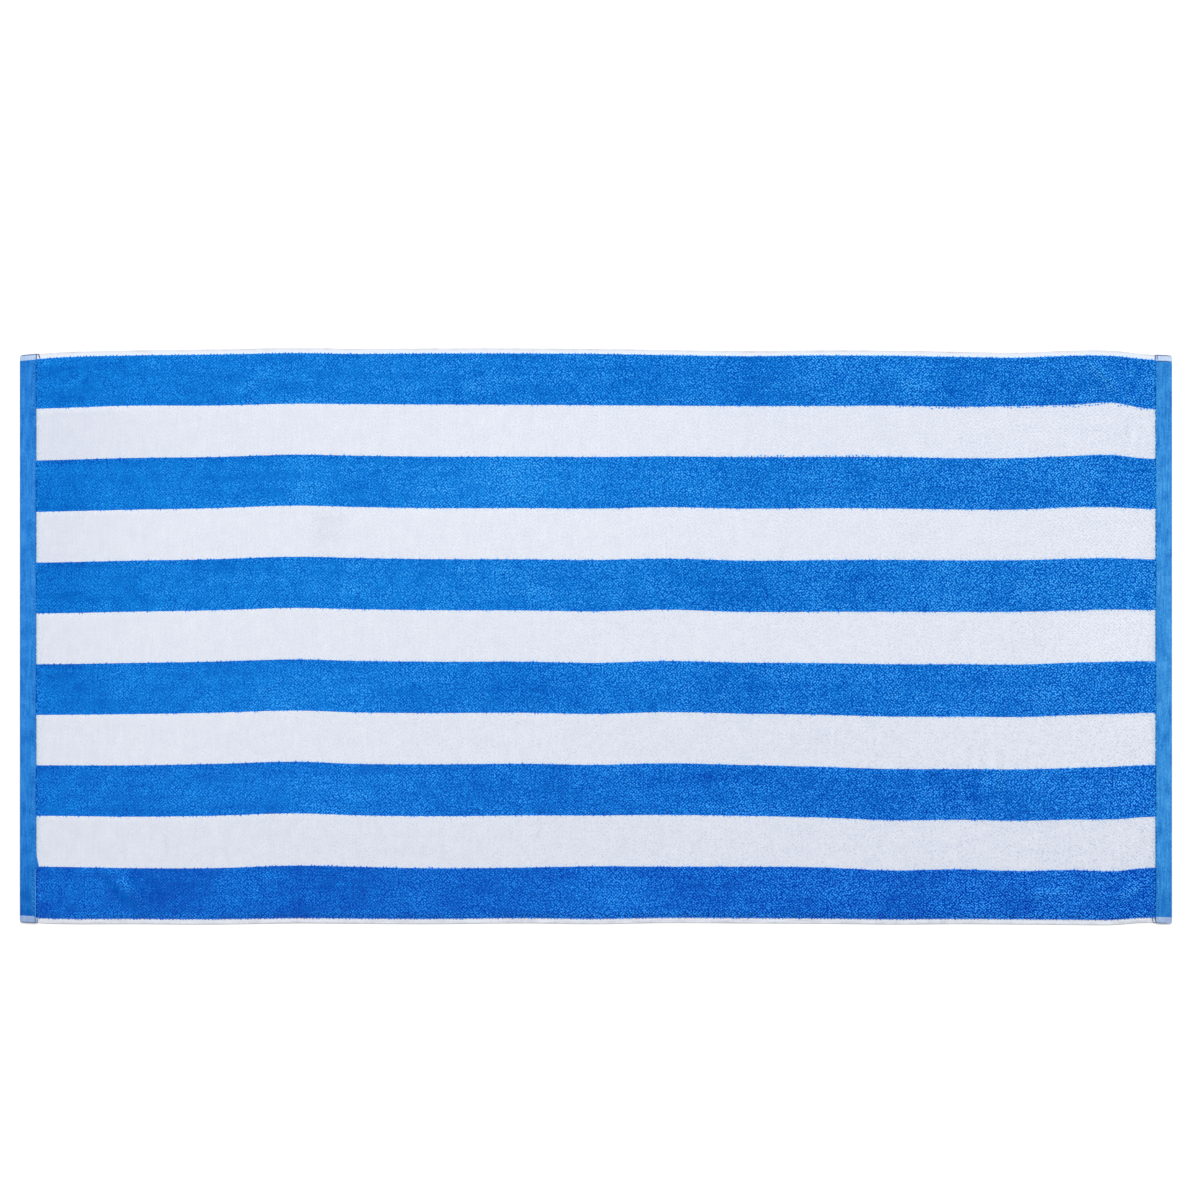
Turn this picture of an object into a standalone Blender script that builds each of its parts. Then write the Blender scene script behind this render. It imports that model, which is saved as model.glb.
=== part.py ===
"""A striped beach towel, spread out flat with its small creases.

The towel is one woven cloth, so it is one solid. It is made as a maker would lay it: a flat sheet
is divided into the cloth's own columns and rows, its two ends are turned over twice into hems, and
the sheet is laid down with the drift of its threads and its creases. Solidify then gives the sheet
its thickness, which is full where there is pile and thin where the cloth is woven flat.

Metres. +X runs along the towel, +Y across it and +Z up. The origin is on the surface that the
towel lies on, under the middle of its outline.
"""

from math import cos, pi, radians, sin

import bmesh
import bpy
import numpy as np
from mathutils import Vector
from mathutils.geometry import intersect_point_line

MM = 0.001

# The cloth as it is finished.
TOWEL_LENGTH = 1.524
TOWEL_WIDTH = 0.759
STRIPE_COUNT = 11
SELVEDGE_WIDTH = 6.8 * MM
HEM_WIDTH = 21.5 * MM

# Thickness of the looped pile cloth, and of the cloth that is woven flat.
PILE_THICKNESS = 3.2 * MM
WEAVE_THICKNESS = 0.7 * MM

# The hem is turned twice. Its layers lie a little apart.
LAYER_GAP = 0.3 * MM
HEM_FOLD_CLEARANCE = 0.3 * MM
RAW_EDGE_SETBACK = 3 * MM
TURN_STEPS = 6

# How the pile's height falls away at its edges: distance in from the edge, share of its height.
PILE_SHOULDER = (
    (0.0, 0.0),
    (0.5 * MM, 0.55),
    (1.4 * MM, 0.85),
    (3.5 * MM, 1.0),
)

PILE_LENGTH = TOWEL_LENGTH - 2 * HEM_WIDTH
STRIPES_WIDTH = TOWEL_WIDTH - 2 * SELVEDGE_WIDTH
STRIPE_WIDTH = STRIPES_WIDTH / STRIPE_COUNT
ROWS_IN_STRIPE = 8

# Columns are close together where the cloth is creased: from, to, about how far apart.
COLUMN_RUNS = (
    (-PILE_LENGTH / 2, -0.540, 0.0075),
    (-0.540, -0.280, 0.0100),
    (-0.280, 0.360, 0.0270),
    (0.360, 0.490, 0.0100),
    (0.490, PILE_LENGTH / 2, 0.0075),
)

# How far eight of the cloth's lengthwise lines have drifted across at each station along it, in
# millimetres towards +Y. The lines are at these shares of the width from its middle.
THREAD_LINES = (0.49, 0.40, 0.27, 0.09, -0.09, -0.27, -0.40, -0.49)
THREAD_DRIFT = (
    # along (m), far edge, far border, upper, middle, below, lower, near border, near edge (mm)
    (-0.762, -6.5, -3.5, -4.5, -3.0, -2.0, 0.0, 1.0, 2.0),
    (-0.735, -4.5, -3.0, -4.0, -3.0, -2.0, 0.0, 1.0, 0.5),
    (-0.608, 0.0, 1.0, -1.0, -0.5, -0.5, -0.5, -1.0, -0.5),
    (-0.513, 1.0, 1.0, 0.5, 1.0, 1.0, 1.0, -1.0, -1.0),
    (-0.386, 3.0, 3.5, 4.0, 4.5, 4.0, 4.0, 2.5, 0.5),
    (-0.323, 2.0, 3.0, 2.5, 3.0, 2.0, 1.5, 1.0, 0.0),
    (-0.227, 2.5, 2.5, 1.0, 1.5, 1.0, 0.5, -1.0, -0.5),
    (-0.085, 2.5, 2.0, 1.0, 1.0, 1.0, 1.5, 0.0, 0.5),
    (-0.005, 2.0, 1.5, 0.5, 0.0, -0.5, 0.5, 1.5, -0.5),
    (0.090, 0.5, 1.0, 2.0, 2.0, 2.0, 2.0, 1.0, 1.0),
    (0.200, -1.0, 0.5, 0.5, -1.0, 0.0, 0.0, 1.0, 0.5),
    (0.300, 0.0, 0.5, 1.0, -0.5, -1.0, -2.5, 0.0, 0.0),
    (0.390, -0.5, 1.0, 0.5, 0.0, -3.0, -5.5, -4.0, -1.0),
    (0.480, -2.0, -0.5, -1.0, -0.5, -3.0, -5.5, -2.5, -0.5),
    (0.566, -3.0, 0.5, -1.0, 0.0, -3.5, -6.0, -5.0, -1.0),
    (0.629, -0.5, 2.0, 2.0, 1.5, -1.0, -4.5, -3.5, -1.5),
    (0.688, -1.0, 4.5, 2.0, 2.5, 0.5, -3.0, -5.0, -1.5),
    (0.722, -4.0, -2.0, -0.5, 1.5, 1.5, -1.0, -1.5, 1.0),
    (0.762, -7.0, -4.5, -0.5, 1.0, 1.5, -0.5, 0.0, 0.0),
)

# Creases: each runs from start past bend to end (metres, towel frame). A ridge lifts the whole
# cloth off the surface. A trough is a dent in the pile, and the cloth under it stays down.
CREASES = (
    # name, kind, start, bend, end, half width, height
    ("near right arc", "ridge", (0.678, -0.349), (0.706, -0.337), (0.737, -0.310), 0.013, 0.0017),
    ("near right dip", "trough", (0.672, -0.343), (0.692, -0.328), (0.706, -0.312), 0.011, 0.0008),
    ("near right groove", "trough", (0.698, -0.359), (0.721, -0.341), (0.738, -0.318), 0.010, 0.0006),
    ("near right rise", "ridge", (0.714, -0.292), (0.721, -0.263), (0.733, -0.238), 0.011, 0.0008),
    ("near right well", "trough", (0.726, -0.272), (0.721, -0.286), (0.715, -0.300), 0.010, 0.0006),
    ("near right nick", "trough", (0.643, -0.267), (0.649, -0.276), (0.655, -0.286), 0.009, 0.0005),
    ("near right wave", "ridge", (0.565, -0.349), (0.594, -0.339), (0.630, -0.332), 0.013, 0.0012),
    ("near right hollow", "trough", (0.541, -0.366), (0.567, -0.356), (0.600, -0.347), 0.011, 0.0006),
    ("far right arc", "ridge", (0.638, 0.371), (0.668, 0.348), (0.696, 0.313), 0.013, 0.0017),
    ("far right dip", "trough", (0.638, 0.350), (0.645, 0.334), (0.653, 0.316), 0.011, 0.0008),
    ("far right corner", "trough", (0.704, 0.365), (0.717, 0.357), (0.729, 0.345), 0.010, 0.0008),
    ("far right hollow", "trough", (0.701, 0.332), (0.712, 0.325), (0.725, 0.322), 0.011, 0.0006),
    ("far right well", "trough", (0.705, 0.297), (0.710, 0.276), (0.715, 0.254), 0.012, 0.0008),
    ("far right wave", "ridge", (0.373, 0.357), (0.404, 0.341), (0.440, 0.316), 0.014, 0.0012),
    ("near left arc", "ridge", (-0.633, -0.311), (-0.614, -0.337), (-0.587, -0.362), 0.013, 0.0015),
    ("near left dip", "trough", (-0.656, -0.311), (-0.635, -0.337), (-0.611, -0.361), 0.011, 0.0009),
    ("near left hollow", "trough", (-0.603, -0.306), (-0.584, -0.329), (-0.566, -0.353), 0.011, 0.0006),
    ("near left furrow", "trough", (-0.620, -0.252), (-0.617, -0.276), (-0.612, -0.300), 0.010, 0.0005),
    ("near left groove", "trough", (-0.580, -0.246), (-0.577, -0.272), (-0.573, -0.298), 0.010, 0.0005),
    ("far left corner", "trough", (-0.725, 0.342), (-0.715, 0.351), (-0.706, 0.358), 0.010, 0.0006),
    ("far left arc", "ridge", (-0.713, 0.320), (-0.682, 0.342), (-0.655, 0.366), 0.011, 0.0010),
    ("far left wave", "ridge", (-0.486, 0.318), (-0.452, 0.338), (-0.423, 0.366), 0.013, 0.0013),
    ("far left line", "trough", (-0.366, 0.358), (-0.365, 0.334), (-0.366, 0.311), 0.010, 0.0006),
    ("left line", "trough", (-0.293, 0.229), (-0.290, 0.208), (-0.288, 0.186), 0.010, 0.0006),
    ("left fold", "trough", (-0.356, 0.168), (-0.356, 0.136), (-0.356, 0.104), 0.026, 0.0008),
    ("right fold", "ridge", (0.536, -0.125), (0.533, -0.180), (0.530, -0.240), 0.014, 0.0011),
    ("right fold dip", "trough", (0.507, -0.125), (0.503, -0.180), (0.500, -0.240), 0.013, 0.0008),
)
CREASE_STEPS = 8
CREASE_TAPER = 0.35

# The four finishes. A stripe's colour changes where a row of faces ends.
FINISHES = (
    # name, red, green, blue (linear), roughness
    ("blue_pile", 0.012, 0.180, 0.640, 0.95),
    ("white_pile", 0.760, 0.790, 0.880, 0.95),
    ("blue_weave", 0.030, 0.225, 0.690, 0.85),
    ("white_weave", 0.740, 0.770, 0.860, 0.85),
)
FINISH_NAMES = [row[0] for row in FINISHES]


def clear_scene():
    for old in list(bpy.data.objects):
        bpy.data.objects.remove(old, do_unlink=True)


def ease(t):
    """0 to 1 with level ends."""
    return t * t * (3 - 2 * t)


def smooth_through(stations, values, at):
    """A smooth curve through the stations. values has a row for each station, and one column,
    or a column for each place."""
    slopes = np.gradient(values, stations, axis=0)
    before = np.clip(np.searchsorted(stations, at) - 1, 0, len(stations) - 2)
    column = np.arange(len(at)) if values.shape[1] > 1 else 0
    gap = stations[before + 1] - stations[before]
    t = np.clip((at - stations[before]) / gap, 0, 1)
    first, second = values[before, column], values[before + 1, column]
    rise, fall = slopes[before, column] * gap, slopes[before + 1, column] * gap
    start = first * (1 + 2 * t) + rise * t
    end = second * (3 - 2 * t) + fall * (t - 1)
    return start * (1 - t) ** 2 + end * t ** 2


def thread_drift(along, across):
    """How far the cloth lies to +Y of where its threads would run straight, at each place."""
    table = np.array(THREAD_DRIFT)
    lines = np.array(THREAD_LINES[::-1]) * TOWEL_WIDTH
    columns = range(len(lines), 0, -1)
    by_line = [smooth_through(table[:, 0], table[:, [column]], along) for column in columns]
    return smooth_through(lines, np.array(by_line), across) * MM


def outline_shift():
    """Brings the middle of the drifted outline back over the origin."""
    along = np.linspace(-TOWEL_LENGTH / 2, TOWEL_LENGTH / 2, 400)
    far = thread_drift(along, np.full(len(along), TOWEL_WIDTH / 2)).max()
    near = thread_drift(along, np.full(len(along), -TOWEL_WIDTH / 2)).min()
    return -(far + near) / 2


def crease_line(start, bend, end):
    """Points along the curve through the three points of a crease."""
    a, b, c = Vector(start), Vector(bend), Vector(end)
    control = 2 * b - (a + c) / 2
    points = []
    for step in range(CREASE_STEPS + 1):
        t = step / CREASE_STEPS
        points.append((1 - t) ** 2 * a + 2 * t * (1 - t) * control + t * t * c)
    return points


CREASE_LINES = [(row, crease_line(*row[2:5])) for row in CREASES]


def crease_height(place, points, half_width, height):
    """Height of one crease at a place: round across it, and fading towards its two ends."""
    nearest, where = half_width, 0.0
    for step, (a, b) in enumerate(zip(points, points[1:])):
        foot, share = intersect_point_line(place, a, b)
        share = min(max(share, 0.0), 1.0)
        distance = (place - a.lerp(b, share)).length
        if distance < nearest:
            nearest = distance
            where = (step + share) / CREASE_STEPS
    fade = ease(min(min(where, 1 - where) / CREASE_TAPER, 1.0))
    return height * fade * cos(pi / 2 * nearest / half_width) ** 2


def creases_at(x, y, kind):
    """The tallest ridge, or the deepest trough, at a place."""
    place = Vector((x, y))
    found = [0.0]
    for row, points in CREASE_LINES:
        if row[1] == kind:
            found.append(crease_height(place, points, row[5], row[6]))
    return max(found)


def shoulder(distance):
    """Share of the pile's height at this distance in from its edge."""
    places, shares = zip(*PILE_SHOULDER)
    if distance >= places[-1]:
        return 1.0
    for low, high, first, second in zip(places, places[1:], shares, shares[1:]):
        if distance < high:
            return first + (second - first) * max(distance - low, 0.0) / (high - low)
    return 1.0


def evenly(start, end, step):
    """Places from start up to but not including end."""
    count = max(1, round((end - start) / step))
    return [start + (end - start) * i / count for i in range(count)]


def hem_section():
    """The outer face of a turned hem, as (distance out from the pile, height), pile side first.

    The cloth runs out along the surface, turns up and back over itself, turns in again, and ends
    in a raw edge between the two layers.
    """
    stack = 3 * WEAVE_THICKNESS + 2 * LAYER_GAP
    end_radius = stack / 2
    edge_radius = (2 * WEAVE_THICKNESS + LAYER_GAP) / 2
    end_centre = HEM_WIDTH - end_radius
    edge_centre = HEM_FOLD_CLEARANCE + edge_radius
    section = [(HEM_WIDTH * 0.4, 0.0)]
    for step in range(TURN_STEPS + 1):
        angle = radians(-90 + 180 * step / TURN_STEPS)
        section.append((end_centre + end_radius * cos(angle), end_radius + end_radius * sin(angle)))
    section.append((HEM_WIDTH * 0.5, stack))
    for step in range(TURN_STEPS + 1):
        angle = radians(90 + 180 * step / TURN_STEPS)
        out = edge_centre + edge_radius * cos(angle)
        section.append((out, stack - edge_radius + edge_radius * sin(angle)))
    section.append((end_centre - RAW_EDGE_SETBACK + end_radius, stack - 2 * edge_radius))
    return section


def cloth_columns():
    """Every column of the cloth, as (along, height of its outer face, in a hem, distance in)."""
    half = PILE_LENGTH / 2
    hem = hem_section()
    left_hem = [(-half - out, up, True, 0.0) for out, up in reversed(hem)]
    right_hem = [(half + out, up, True, 0.0) for out, up in hem]
    places = {-half + distance for distance, share in PILE_SHOULDER}
    places |= {half - distance for distance, share in PILE_SHOULDER}
    for start, end, step in COLUMN_RUNS:
        places |= set(evenly(start, end, step))
    pile = [(place, 0.0, False, half - abs(place)) for place in sorted(places)]
    return left_hem + pile + right_hem


def cloth_rows():
    """Every row of the cloth, as (across, distance in from the pile's long edge)."""
    half = STRIPES_WIDTH / 2
    places = {-TOWEL_WIDTH / 2, TOWEL_WIDTH / 2}
    places |= {-half + distance for distance, share in PILE_SHOULDER}
    places |= {half - distance for distance, share in PILE_SHOULDER}
    places |= set(evenly(-half, half, STRIPE_WIDTH / ROWS_IN_STRIPE))
    return [(place, half - abs(place)) for place in sorted(places)]


def pile_share(column, row):
    """Share of the pile's height, 0 where the cloth is woven flat."""
    if column[2]:
        return 0.0
    return min(shoulder(column[3]), shoulder(row[1]))


def finish_of(along, across):
    """The finish of a face, from the place of its middle in the cloth."""
    if abs(along) > PILE_LENGTH / 2:
        return "blue_weave"
    if abs(across) > STRIPES_WIDTH / 2:
        return "white_weave"
    stripe = int((across + STRIPES_WIDTH / 2) // STRIPE_WIDTH)
    return "blue_pile" if stripe % 2 == 0 else "white_pile"


def finish_material(name, red, green, blue, roughness):
    material = bpy.data.materials.new(name)
    material.use_nodes = True
    shader = material.node_tree.nodes["Principled BSDF"]
    shader.inputs["Base Color"].default_value = (red, green, blue, 1)
    shader.inputs["Roughness"].default_value = roughness
    shader.inputs["Metallic"].default_value = 0
    material.diffuse_color = (red, green, blue, 1)
    return material


def laid_sheet(columns, rows):
    """The cloth's outer face as one open sheet, with each face's finish and its pile's shares."""
    sheet = bmesh.new()
    across_count, along_count = len(rows) - 1, len(columns) - 1
    bmesh.ops.create_grid(sheet, x_segments=along_count, y_segments=across_count, size=0.5)
    sheet.verts.ensure_lookup_table()
    own_column = [columns[round((vertex.co.x + 0.5) * along_count)] for vertex in sheet.verts]
    own_row = [rows[round((vertex.co.y + 0.5) * across_count)] for vertex in sheet.verts]
    along = np.array([column[0] for column in own_column])
    across = np.array([row[0] for row in own_row])
    y_places = across + thread_drift(along, across) + outline_shift()
    shares = []
    for vertex, column, row, y in zip(sheet.verts, own_column, own_row, y_places):
        x, height = column[:2]
        share = pile_share(column, row)
        dent = creases_at(x, y, "trough") * share
        shares.append(share - dent / (PILE_THICKNESS - WEAVE_THICKNESS))
        vertex.co = (x, y, height + creases_at(x, y, "ridge"))
    for face in sheet.faces:
        corners = [vertex.index for vertex in face.verts]
        finish = finish_of(along[corners].mean(), across[corners].mean())
        face.material_index = FINISH_NAMES.index(finish)
        face.smooth = True
    return sheet, shares


def make_towel(collection):
    sheet, pile_weights = laid_sheet(cloth_columns(), cloth_rows())
    mesh = bpy.data.meshes.new("towel_cloth")
    sheet.to_mesh(mesh)
    sheet.free()
    for row in FINISHES:
        mesh.materials.append(finish_material(*row))
    towel = bpy.data.objects.new("towel_cloth", mesh)
    collection.objects.link(towel)
    pile = towel.vertex_groups.new(name="pile")
    for index, weight in enumerate(pile_weights):
        pile.add([index], weight, "REPLACE")
    thickness = towel.modifiers.new("cloth thickness", "SOLIDIFY")
    thickness.thickness = PILE_THICKNESS
    thickness.offset = 1
    thickness.vertex_group = "pile"
    thickness.thickness_vertex_group = WEAVE_THICKNESS / PILE_THICKNESS
    thickness.use_rim = True
    return towel


def main():
    clear_scene()
    collection = bpy.data.collections.new("beach_towel")
    bpy.context.scene.collection.children.link(collection)
    make_towel(collection)


main()
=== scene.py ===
# %% [markdown]
# # A striped beach towel, laid flat
#
# The towel is one woven cloth. Lengthwise stripes of looped pile, blue and white, lie between two
# narrow flat-woven selvedges, and each short end is turned over twice and stitched into a hem.
#
# A towel could be shown as one smooth sheet with a picture of loops on it. Seen from close by, that
# looks printed. Here the cloth is a thin modelled sheet on its own folds, and every loop of the pile
# has a shape of its own, so light, edges and stripes behave as they do on terry.

# %% Load the measured towel
from math import cos, pi, radians, sin

import bpy
import numpy as np
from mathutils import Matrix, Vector


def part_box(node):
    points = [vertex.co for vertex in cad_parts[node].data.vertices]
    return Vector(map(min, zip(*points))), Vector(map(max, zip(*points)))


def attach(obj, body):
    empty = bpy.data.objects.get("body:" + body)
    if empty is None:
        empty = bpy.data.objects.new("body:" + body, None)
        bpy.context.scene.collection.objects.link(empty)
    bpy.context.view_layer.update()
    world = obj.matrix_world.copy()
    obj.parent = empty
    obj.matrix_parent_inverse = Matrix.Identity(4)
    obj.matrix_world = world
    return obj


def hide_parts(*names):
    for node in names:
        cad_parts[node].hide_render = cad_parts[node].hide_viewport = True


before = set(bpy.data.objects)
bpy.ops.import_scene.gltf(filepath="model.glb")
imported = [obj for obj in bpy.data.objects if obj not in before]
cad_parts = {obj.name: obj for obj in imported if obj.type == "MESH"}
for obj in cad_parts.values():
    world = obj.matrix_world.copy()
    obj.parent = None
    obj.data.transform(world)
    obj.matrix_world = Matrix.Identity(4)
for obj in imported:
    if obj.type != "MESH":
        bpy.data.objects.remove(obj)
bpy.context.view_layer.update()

MM = 0.001
low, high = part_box("towel_cloth")
print("the towel's solid:", [round((high[i] - low[i]) / MM, 1) for i in range(3)], "mm")

# %% [markdown]
# ## Sizes of the finished cloth
#
# Everything below is worked out from a few sizes of the real towel: how long and wide it is, how
# many stripes it has, and how wide its selvedges and hems are. They could be read off the solid,
# but a weaver sets them first, so they are named here. The solid's box is printed above, to compare.

# %% Sizes
TOWEL_LENGTH = 1.524
TOWEL_WIDTH = 0.759
STRIPE_COUNT = 11
SELVEDGE_WIDTH = 6.8 * MM
HEM_WIDTH = 21.5 * MM

PILE_THICKNESS = 3.2 * MM
WEAVE_THICKNESS = 0.7 * MM

PILE_LENGTH = TOWEL_LENGTH - 2 * HEM_WIDTH
STRIPES_WIDTH = TOWEL_WIDTH - 2 * SELVEDGE_WIDTH
STRIPE_WIDTH = STRIPES_WIDTH / STRIPE_COUNT
print("one stripe is", round(STRIPE_WIDTH / MM, 1), "mm wide")

# %% [markdown]
# ## How the threads drift
#
# A towel that has been washed and laid out by hand is never a perfect rectangle. Its lengthwise
# threads wander a few millimetres, so its edges and its stripes wave together. A noise could give
# such a wave, but this cloth has its own, so a table holds how far eight of its lengthwise lines
# have drifted at each station, and a smooth curve runs through the stations and across the lines.

# %% Thread drift
THREAD_LINES = (0.49, 0.40, 0.27, 0.09, -0.09, -0.27, -0.40, -0.49)
THREAD_DRIFT = (
    # along (m), far edge, far border, upper, middle, below, lower, near border, near edge (mm)
    (-0.762, -7.0, -3.5, -4.5, -3.0, -2.0, 0.0, 1.0, 2.0),
    (-0.735, -4.5, -3.0, -4.0, -3.0, -2.0, 0.0, 1.0, 0.5),
    (-0.608, 0.0, 1.0, -1.0, -0.5, -0.5, -0.5, -1.0, -0.5),
    (-0.513, 1.0, 1.0, 0.5, 1.0, 1.0, 1.0, -1.0, -1.0),
    (-0.386, 3.0, 3.5, 4.0, 4.5, 4.0, 4.0, 2.5, 0.5),
    (-0.323, 2.0, 3.0, 2.5, 3.0, 2.0, 1.5, 1.0, 0.0),
    (-0.227, 2.5, 2.5, 1.0, 1.5, 1.0, 0.5, -1.0, -0.5),
    (-0.085, 2.5, 2.0, 1.0, 1.0, 1.0, 1.5, 0.0, 0.5),
    (-0.005, 2.0, 1.5, 0.5, 0.0, -0.5, 0.5, 1.5, -0.5),
    (0.090, 0.5, 1.0, 2.0, 2.0, 2.0, 2.0, 1.0, 1.0),
    (0.200, -1.0, 0.5, 0.5, -1.0, 0.0, 0.0, 1.0, 0.5),
    (0.300, 0.0, 0.5, 1.0, -0.5, -1.0, -2.5, 0.0, 0.0),
    (0.390, -0.5, 1.0, 0.5, 0.0, -3.0, -5.5, -4.0, -1.0),
    (0.480, -2.0, -0.5, -1.0, -0.5, -3.0, -5.5, -2.5, -0.5),
    (0.566, -3.0, 0.5, -1.0, 0.0, -3.5, -6.0, -5.0, -1.0),
    (0.629, -0.5, 2.0, 2.0, 1.5, -1.0, -4.5, -3.5, -1.5),
    (0.688, -1.0, 4.5, 2.0, 2.5, 0.5, -3.0, -5.0, -1.5),
    (0.722, -4.8, -2.0, -0.5, 1.5, 1.5, -1.0, -1.5, 1.0),
    (0.762, -7.3, -4.5, -0.5, 1.0, 1.5, -0.5, 0.0, 0.0),
)


def smooth_through(stations, values, at):
    """A smooth curve through the stations. values has a row for each station, and one column,
    or a column for each place."""
    slopes = np.gradient(values, stations, axis=0)
    before = np.clip(np.searchsorted(stations, at) - 1, 0, len(stations) - 2)
    column = np.arange(len(at)) if values.shape[1] > 1 else 0
    gap = stations[before + 1] - stations[before]
    t = np.clip((at - stations[before]) / gap, 0, 1)
    first, second = values[before, column], values[before + 1, column]
    rise, fall = slopes[before, column] * gap, slopes[before + 1, column] * gap
    start = first * (1 + 2 * t) + rise * t
    end = second * (3 - 2 * t) + fall * (t - 1)
    return start * (1 - t) ** 2 + end * t ** 2


def thread_drift(along, across):
    """How far the cloth lies to +Y of where its threads would run straight."""
    table = np.array(THREAD_DRIFT)
    lines = np.array(THREAD_LINES[::-1]) * TOWEL_WIDTH
    columns = range(len(lines), 0, -1)
    by_line = [smooth_through(table[:, 0], table[:, [column]], along) for column in columns]
    return smooth_through(lines, np.array(by_line), across) * MM


def outline_shift():
    """Brings the middle of the drifted outline back over the origin."""
    along = np.linspace(-TOWEL_LENGTH / 2, TOWEL_LENGTH / 2, 400)
    far = thread_drift(along, np.full(len(along), TOWEL_WIDTH / 2)).max()
    near = thread_drift(along, np.full(len(along), -TOWEL_WIDTH / 2)).min()
    return -(far + near) / 2


OUTLINE_SHIFT = outline_shift()
print("the outline is shifted by", round(OUTLINE_SHIFT / MM, 2), "mm to stay over the origin")

# %% [markdown]
# ## The creases
#
# Where the cloth was pulled or folded it keeps low ridges, which lift the whole cloth, and shallow
# troughs, where only the pile is pressed down. A cloth simulation would give creases, but not these
# ones, so each is listed: a curve through three points, a half width and a height. Across
# the curve its shape is a smooth bump, and it fades towards both ends.

# %% Creases
RIDGES = (
    # start, bend, end (along, across), half width, height
    # near edge, right half
    ((0.678, -0.349), (0.706, -0.337), (0.737, -0.310), 0.013, 0.0017),
    ((0.714, -0.292), (0.721, -0.263), (0.733, -0.238), 0.011, 0.0008),
    ((0.565, -0.349), (0.594, -0.339), (0.630, -0.332), 0.013, 0.0012),
    # far edge, right half
    ((0.638, 0.371), (0.668, 0.348), (0.696, 0.313), 0.013, 0.0017),
    ((0.373, 0.357), (0.404, 0.341), (0.440, 0.316), 0.014, 0.0012),
    # near edge, left half
    ((-0.633, -0.311), (-0.614, -0.337), (-0.587, -0.362), 0.013, 0.0015),
    # far edge, left half
    ((-0.713, 0.320), (-0.682, 0.342), (-0.655, 0.366), 0.011, 0.0010),
    ((-0.486, 0.318), (-0.452, 0.338), (-0.423, 0.366), 0.013, 0.0013),
    # inside the towel
    ((0.536, -0.125), (0.533, -0.180), (0.530, -0.240), 0.014, 0.0011),
)
TROUGHS = (
    # start, bend, end (along, across), half width, depth
    # near edge, right half
    ((0.672, -0.343), (0.692, -0.328), (0.706, -0.312), 0.011, 0.0008),
    ((0.698, -0.359), (0.721, -0.341), (0.738, -0.318), 0.010, 0.0006),
    ((0.726, -0.272), (0.721, -0.286), (0.715, -0.300), 0.010, 0.0006),
    ((0.643, -0.267), (0.649, -0.276), (0.655, -0.286), 0.009, 0.0005),
    ((0.541, -0.366), (0.567, -0.356), (0.600, -0.347), 0.011, 0.0006),
    # far edge, right half
    ((0.638, 0.350), (0.645, 0.334), (0.653, 0.316), 0.011, 0.0008),
    ((0.704, 0.365), (0.717, 0.357), (0.729, 0.345), 0.010, 0.0008),
    ((0.701, 0.332), (0.712, 0.325), (0.725, 0.322), 0.011, 0.0006),
    ((0.705, 0.297), (0.710, 0.276), (0.715, 0.254), 0.012, 0.0008),
    # near edge, left half
    ((-0.656, -0.311), (-0.635, -0.337), (-0.611, -0.361), 0.011, 0.0009),
    ((-0.603, -0.306), (-0.584, -0.329), (-0.566, -0.353), 0.011, 0.0006),
    ((-0.620, -0.252), (-0.617, -0.276), (-0.612, -0.300), 0.010, 0.0005),
    ((-0.580, -0.246), (-0.577, -0.272), (-0.573, -0.298), 0.010, 0.0005),
    # far edge, left half
    ((-0.725, 0.342), (-0.715, 0.351), (-0.706, 0.358), 0.010, 0.0006),
    ((-0.366, 0.358), (-0.365, 0.334), (-0.366, 0.311), 0.010, 0.0006),
    # inside the towel
    ((-0.293, 0.229), (-0.290, 0.208), (-0.288, 0.186), 0.010, 0.0006),
    ((-0.356, 0.168), (-0.356, 0.136), (-0.356, 0.104), 0.026, 0.0008),
    ((0.507, -0.125), (0.503, -0.180), (0.500, -0.240), 0.013, 0.0008),
)
CREASE_STEPS = 8
CREASE_TAPER = 0.35


def ease(t):
    """0 to 1 with level ends."""
    return t * t * (3 - 2 * t)


def curve_through(start, middle, end, steps):
    """Points along the smooth curve through three points."""
    a, b, c = (np.array(point) for point in (start, middle, end))
    t = np.linspace(0, 1, steps + 1)[:, None]
    return (1 - t) ** 2 * a + 2 * t * (1 - t) * (2 * b - (a + c) / 2) + t * t * c


def crease_height(x, y, line, half_width, height):
    """Height of one crease near it: round across its line, and fading towards its two ends."""
    nearest = np.full(len(x), half_width)
    where = np.zeros(len(x))
    for step, (a, b) in enumerate(zip(line, line[1:])):
        run = b - a
        share = np.clip(((x - a[0]) * run[0] + (y - a[1]) * run[1]) / run.dot(run), 0, 1)
        distance = np.hypot(x - a[0] - share * run[0], y - a[1] - share * run[1])
        closer = distance < nearest
        nearest[closer] = distance[closer]
        where[closer] = (step + share[closer]) / CREASE_STEPS
    fade = ease(np.minimum(np.minimum(where, 1 - where) / CREASE_TAPER, 1))
    return height * fade * np.cos(pi / 2 * nearest / half_width) ** 2


def creases_at(x, y, creases):
    """The height of the tallest of these ridges, or the depth of the deepest trough, at each place."""
    tallest = np.zeros(len(x))
    for start, bend, end, half_width, height in creases:
        line = curve_through(start, bend, end, CREASE_STEPS)
        (x0, y0), (x1, y1) = line.min(axis=0) - half_width, line.max(axis=0) + half_width
        close = np.flatnonzero((x > x0) & (x < x1) & (y > y0) & (y < y1))
        found = crease_height(x[close], y[close], line, half_width, height)
        tallest[close] = np.maximum(tallest[close], found)
    return tallest


print(len(RIDGES), "ridges and", len(TROUGHS), "troughs")

# %% [markdown]
# ## From the flat cloth to the laid cloth
#
# Every piece below is drawn on the flat cloth first, as (along, across, height over the cloth's
# underside). One function then lays it down: it drifts with the threads and rises with the ridges.
# Because all pieces pass through the same function, the loops, the ground cloth and the hems stay
# together without any fitting.

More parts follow.
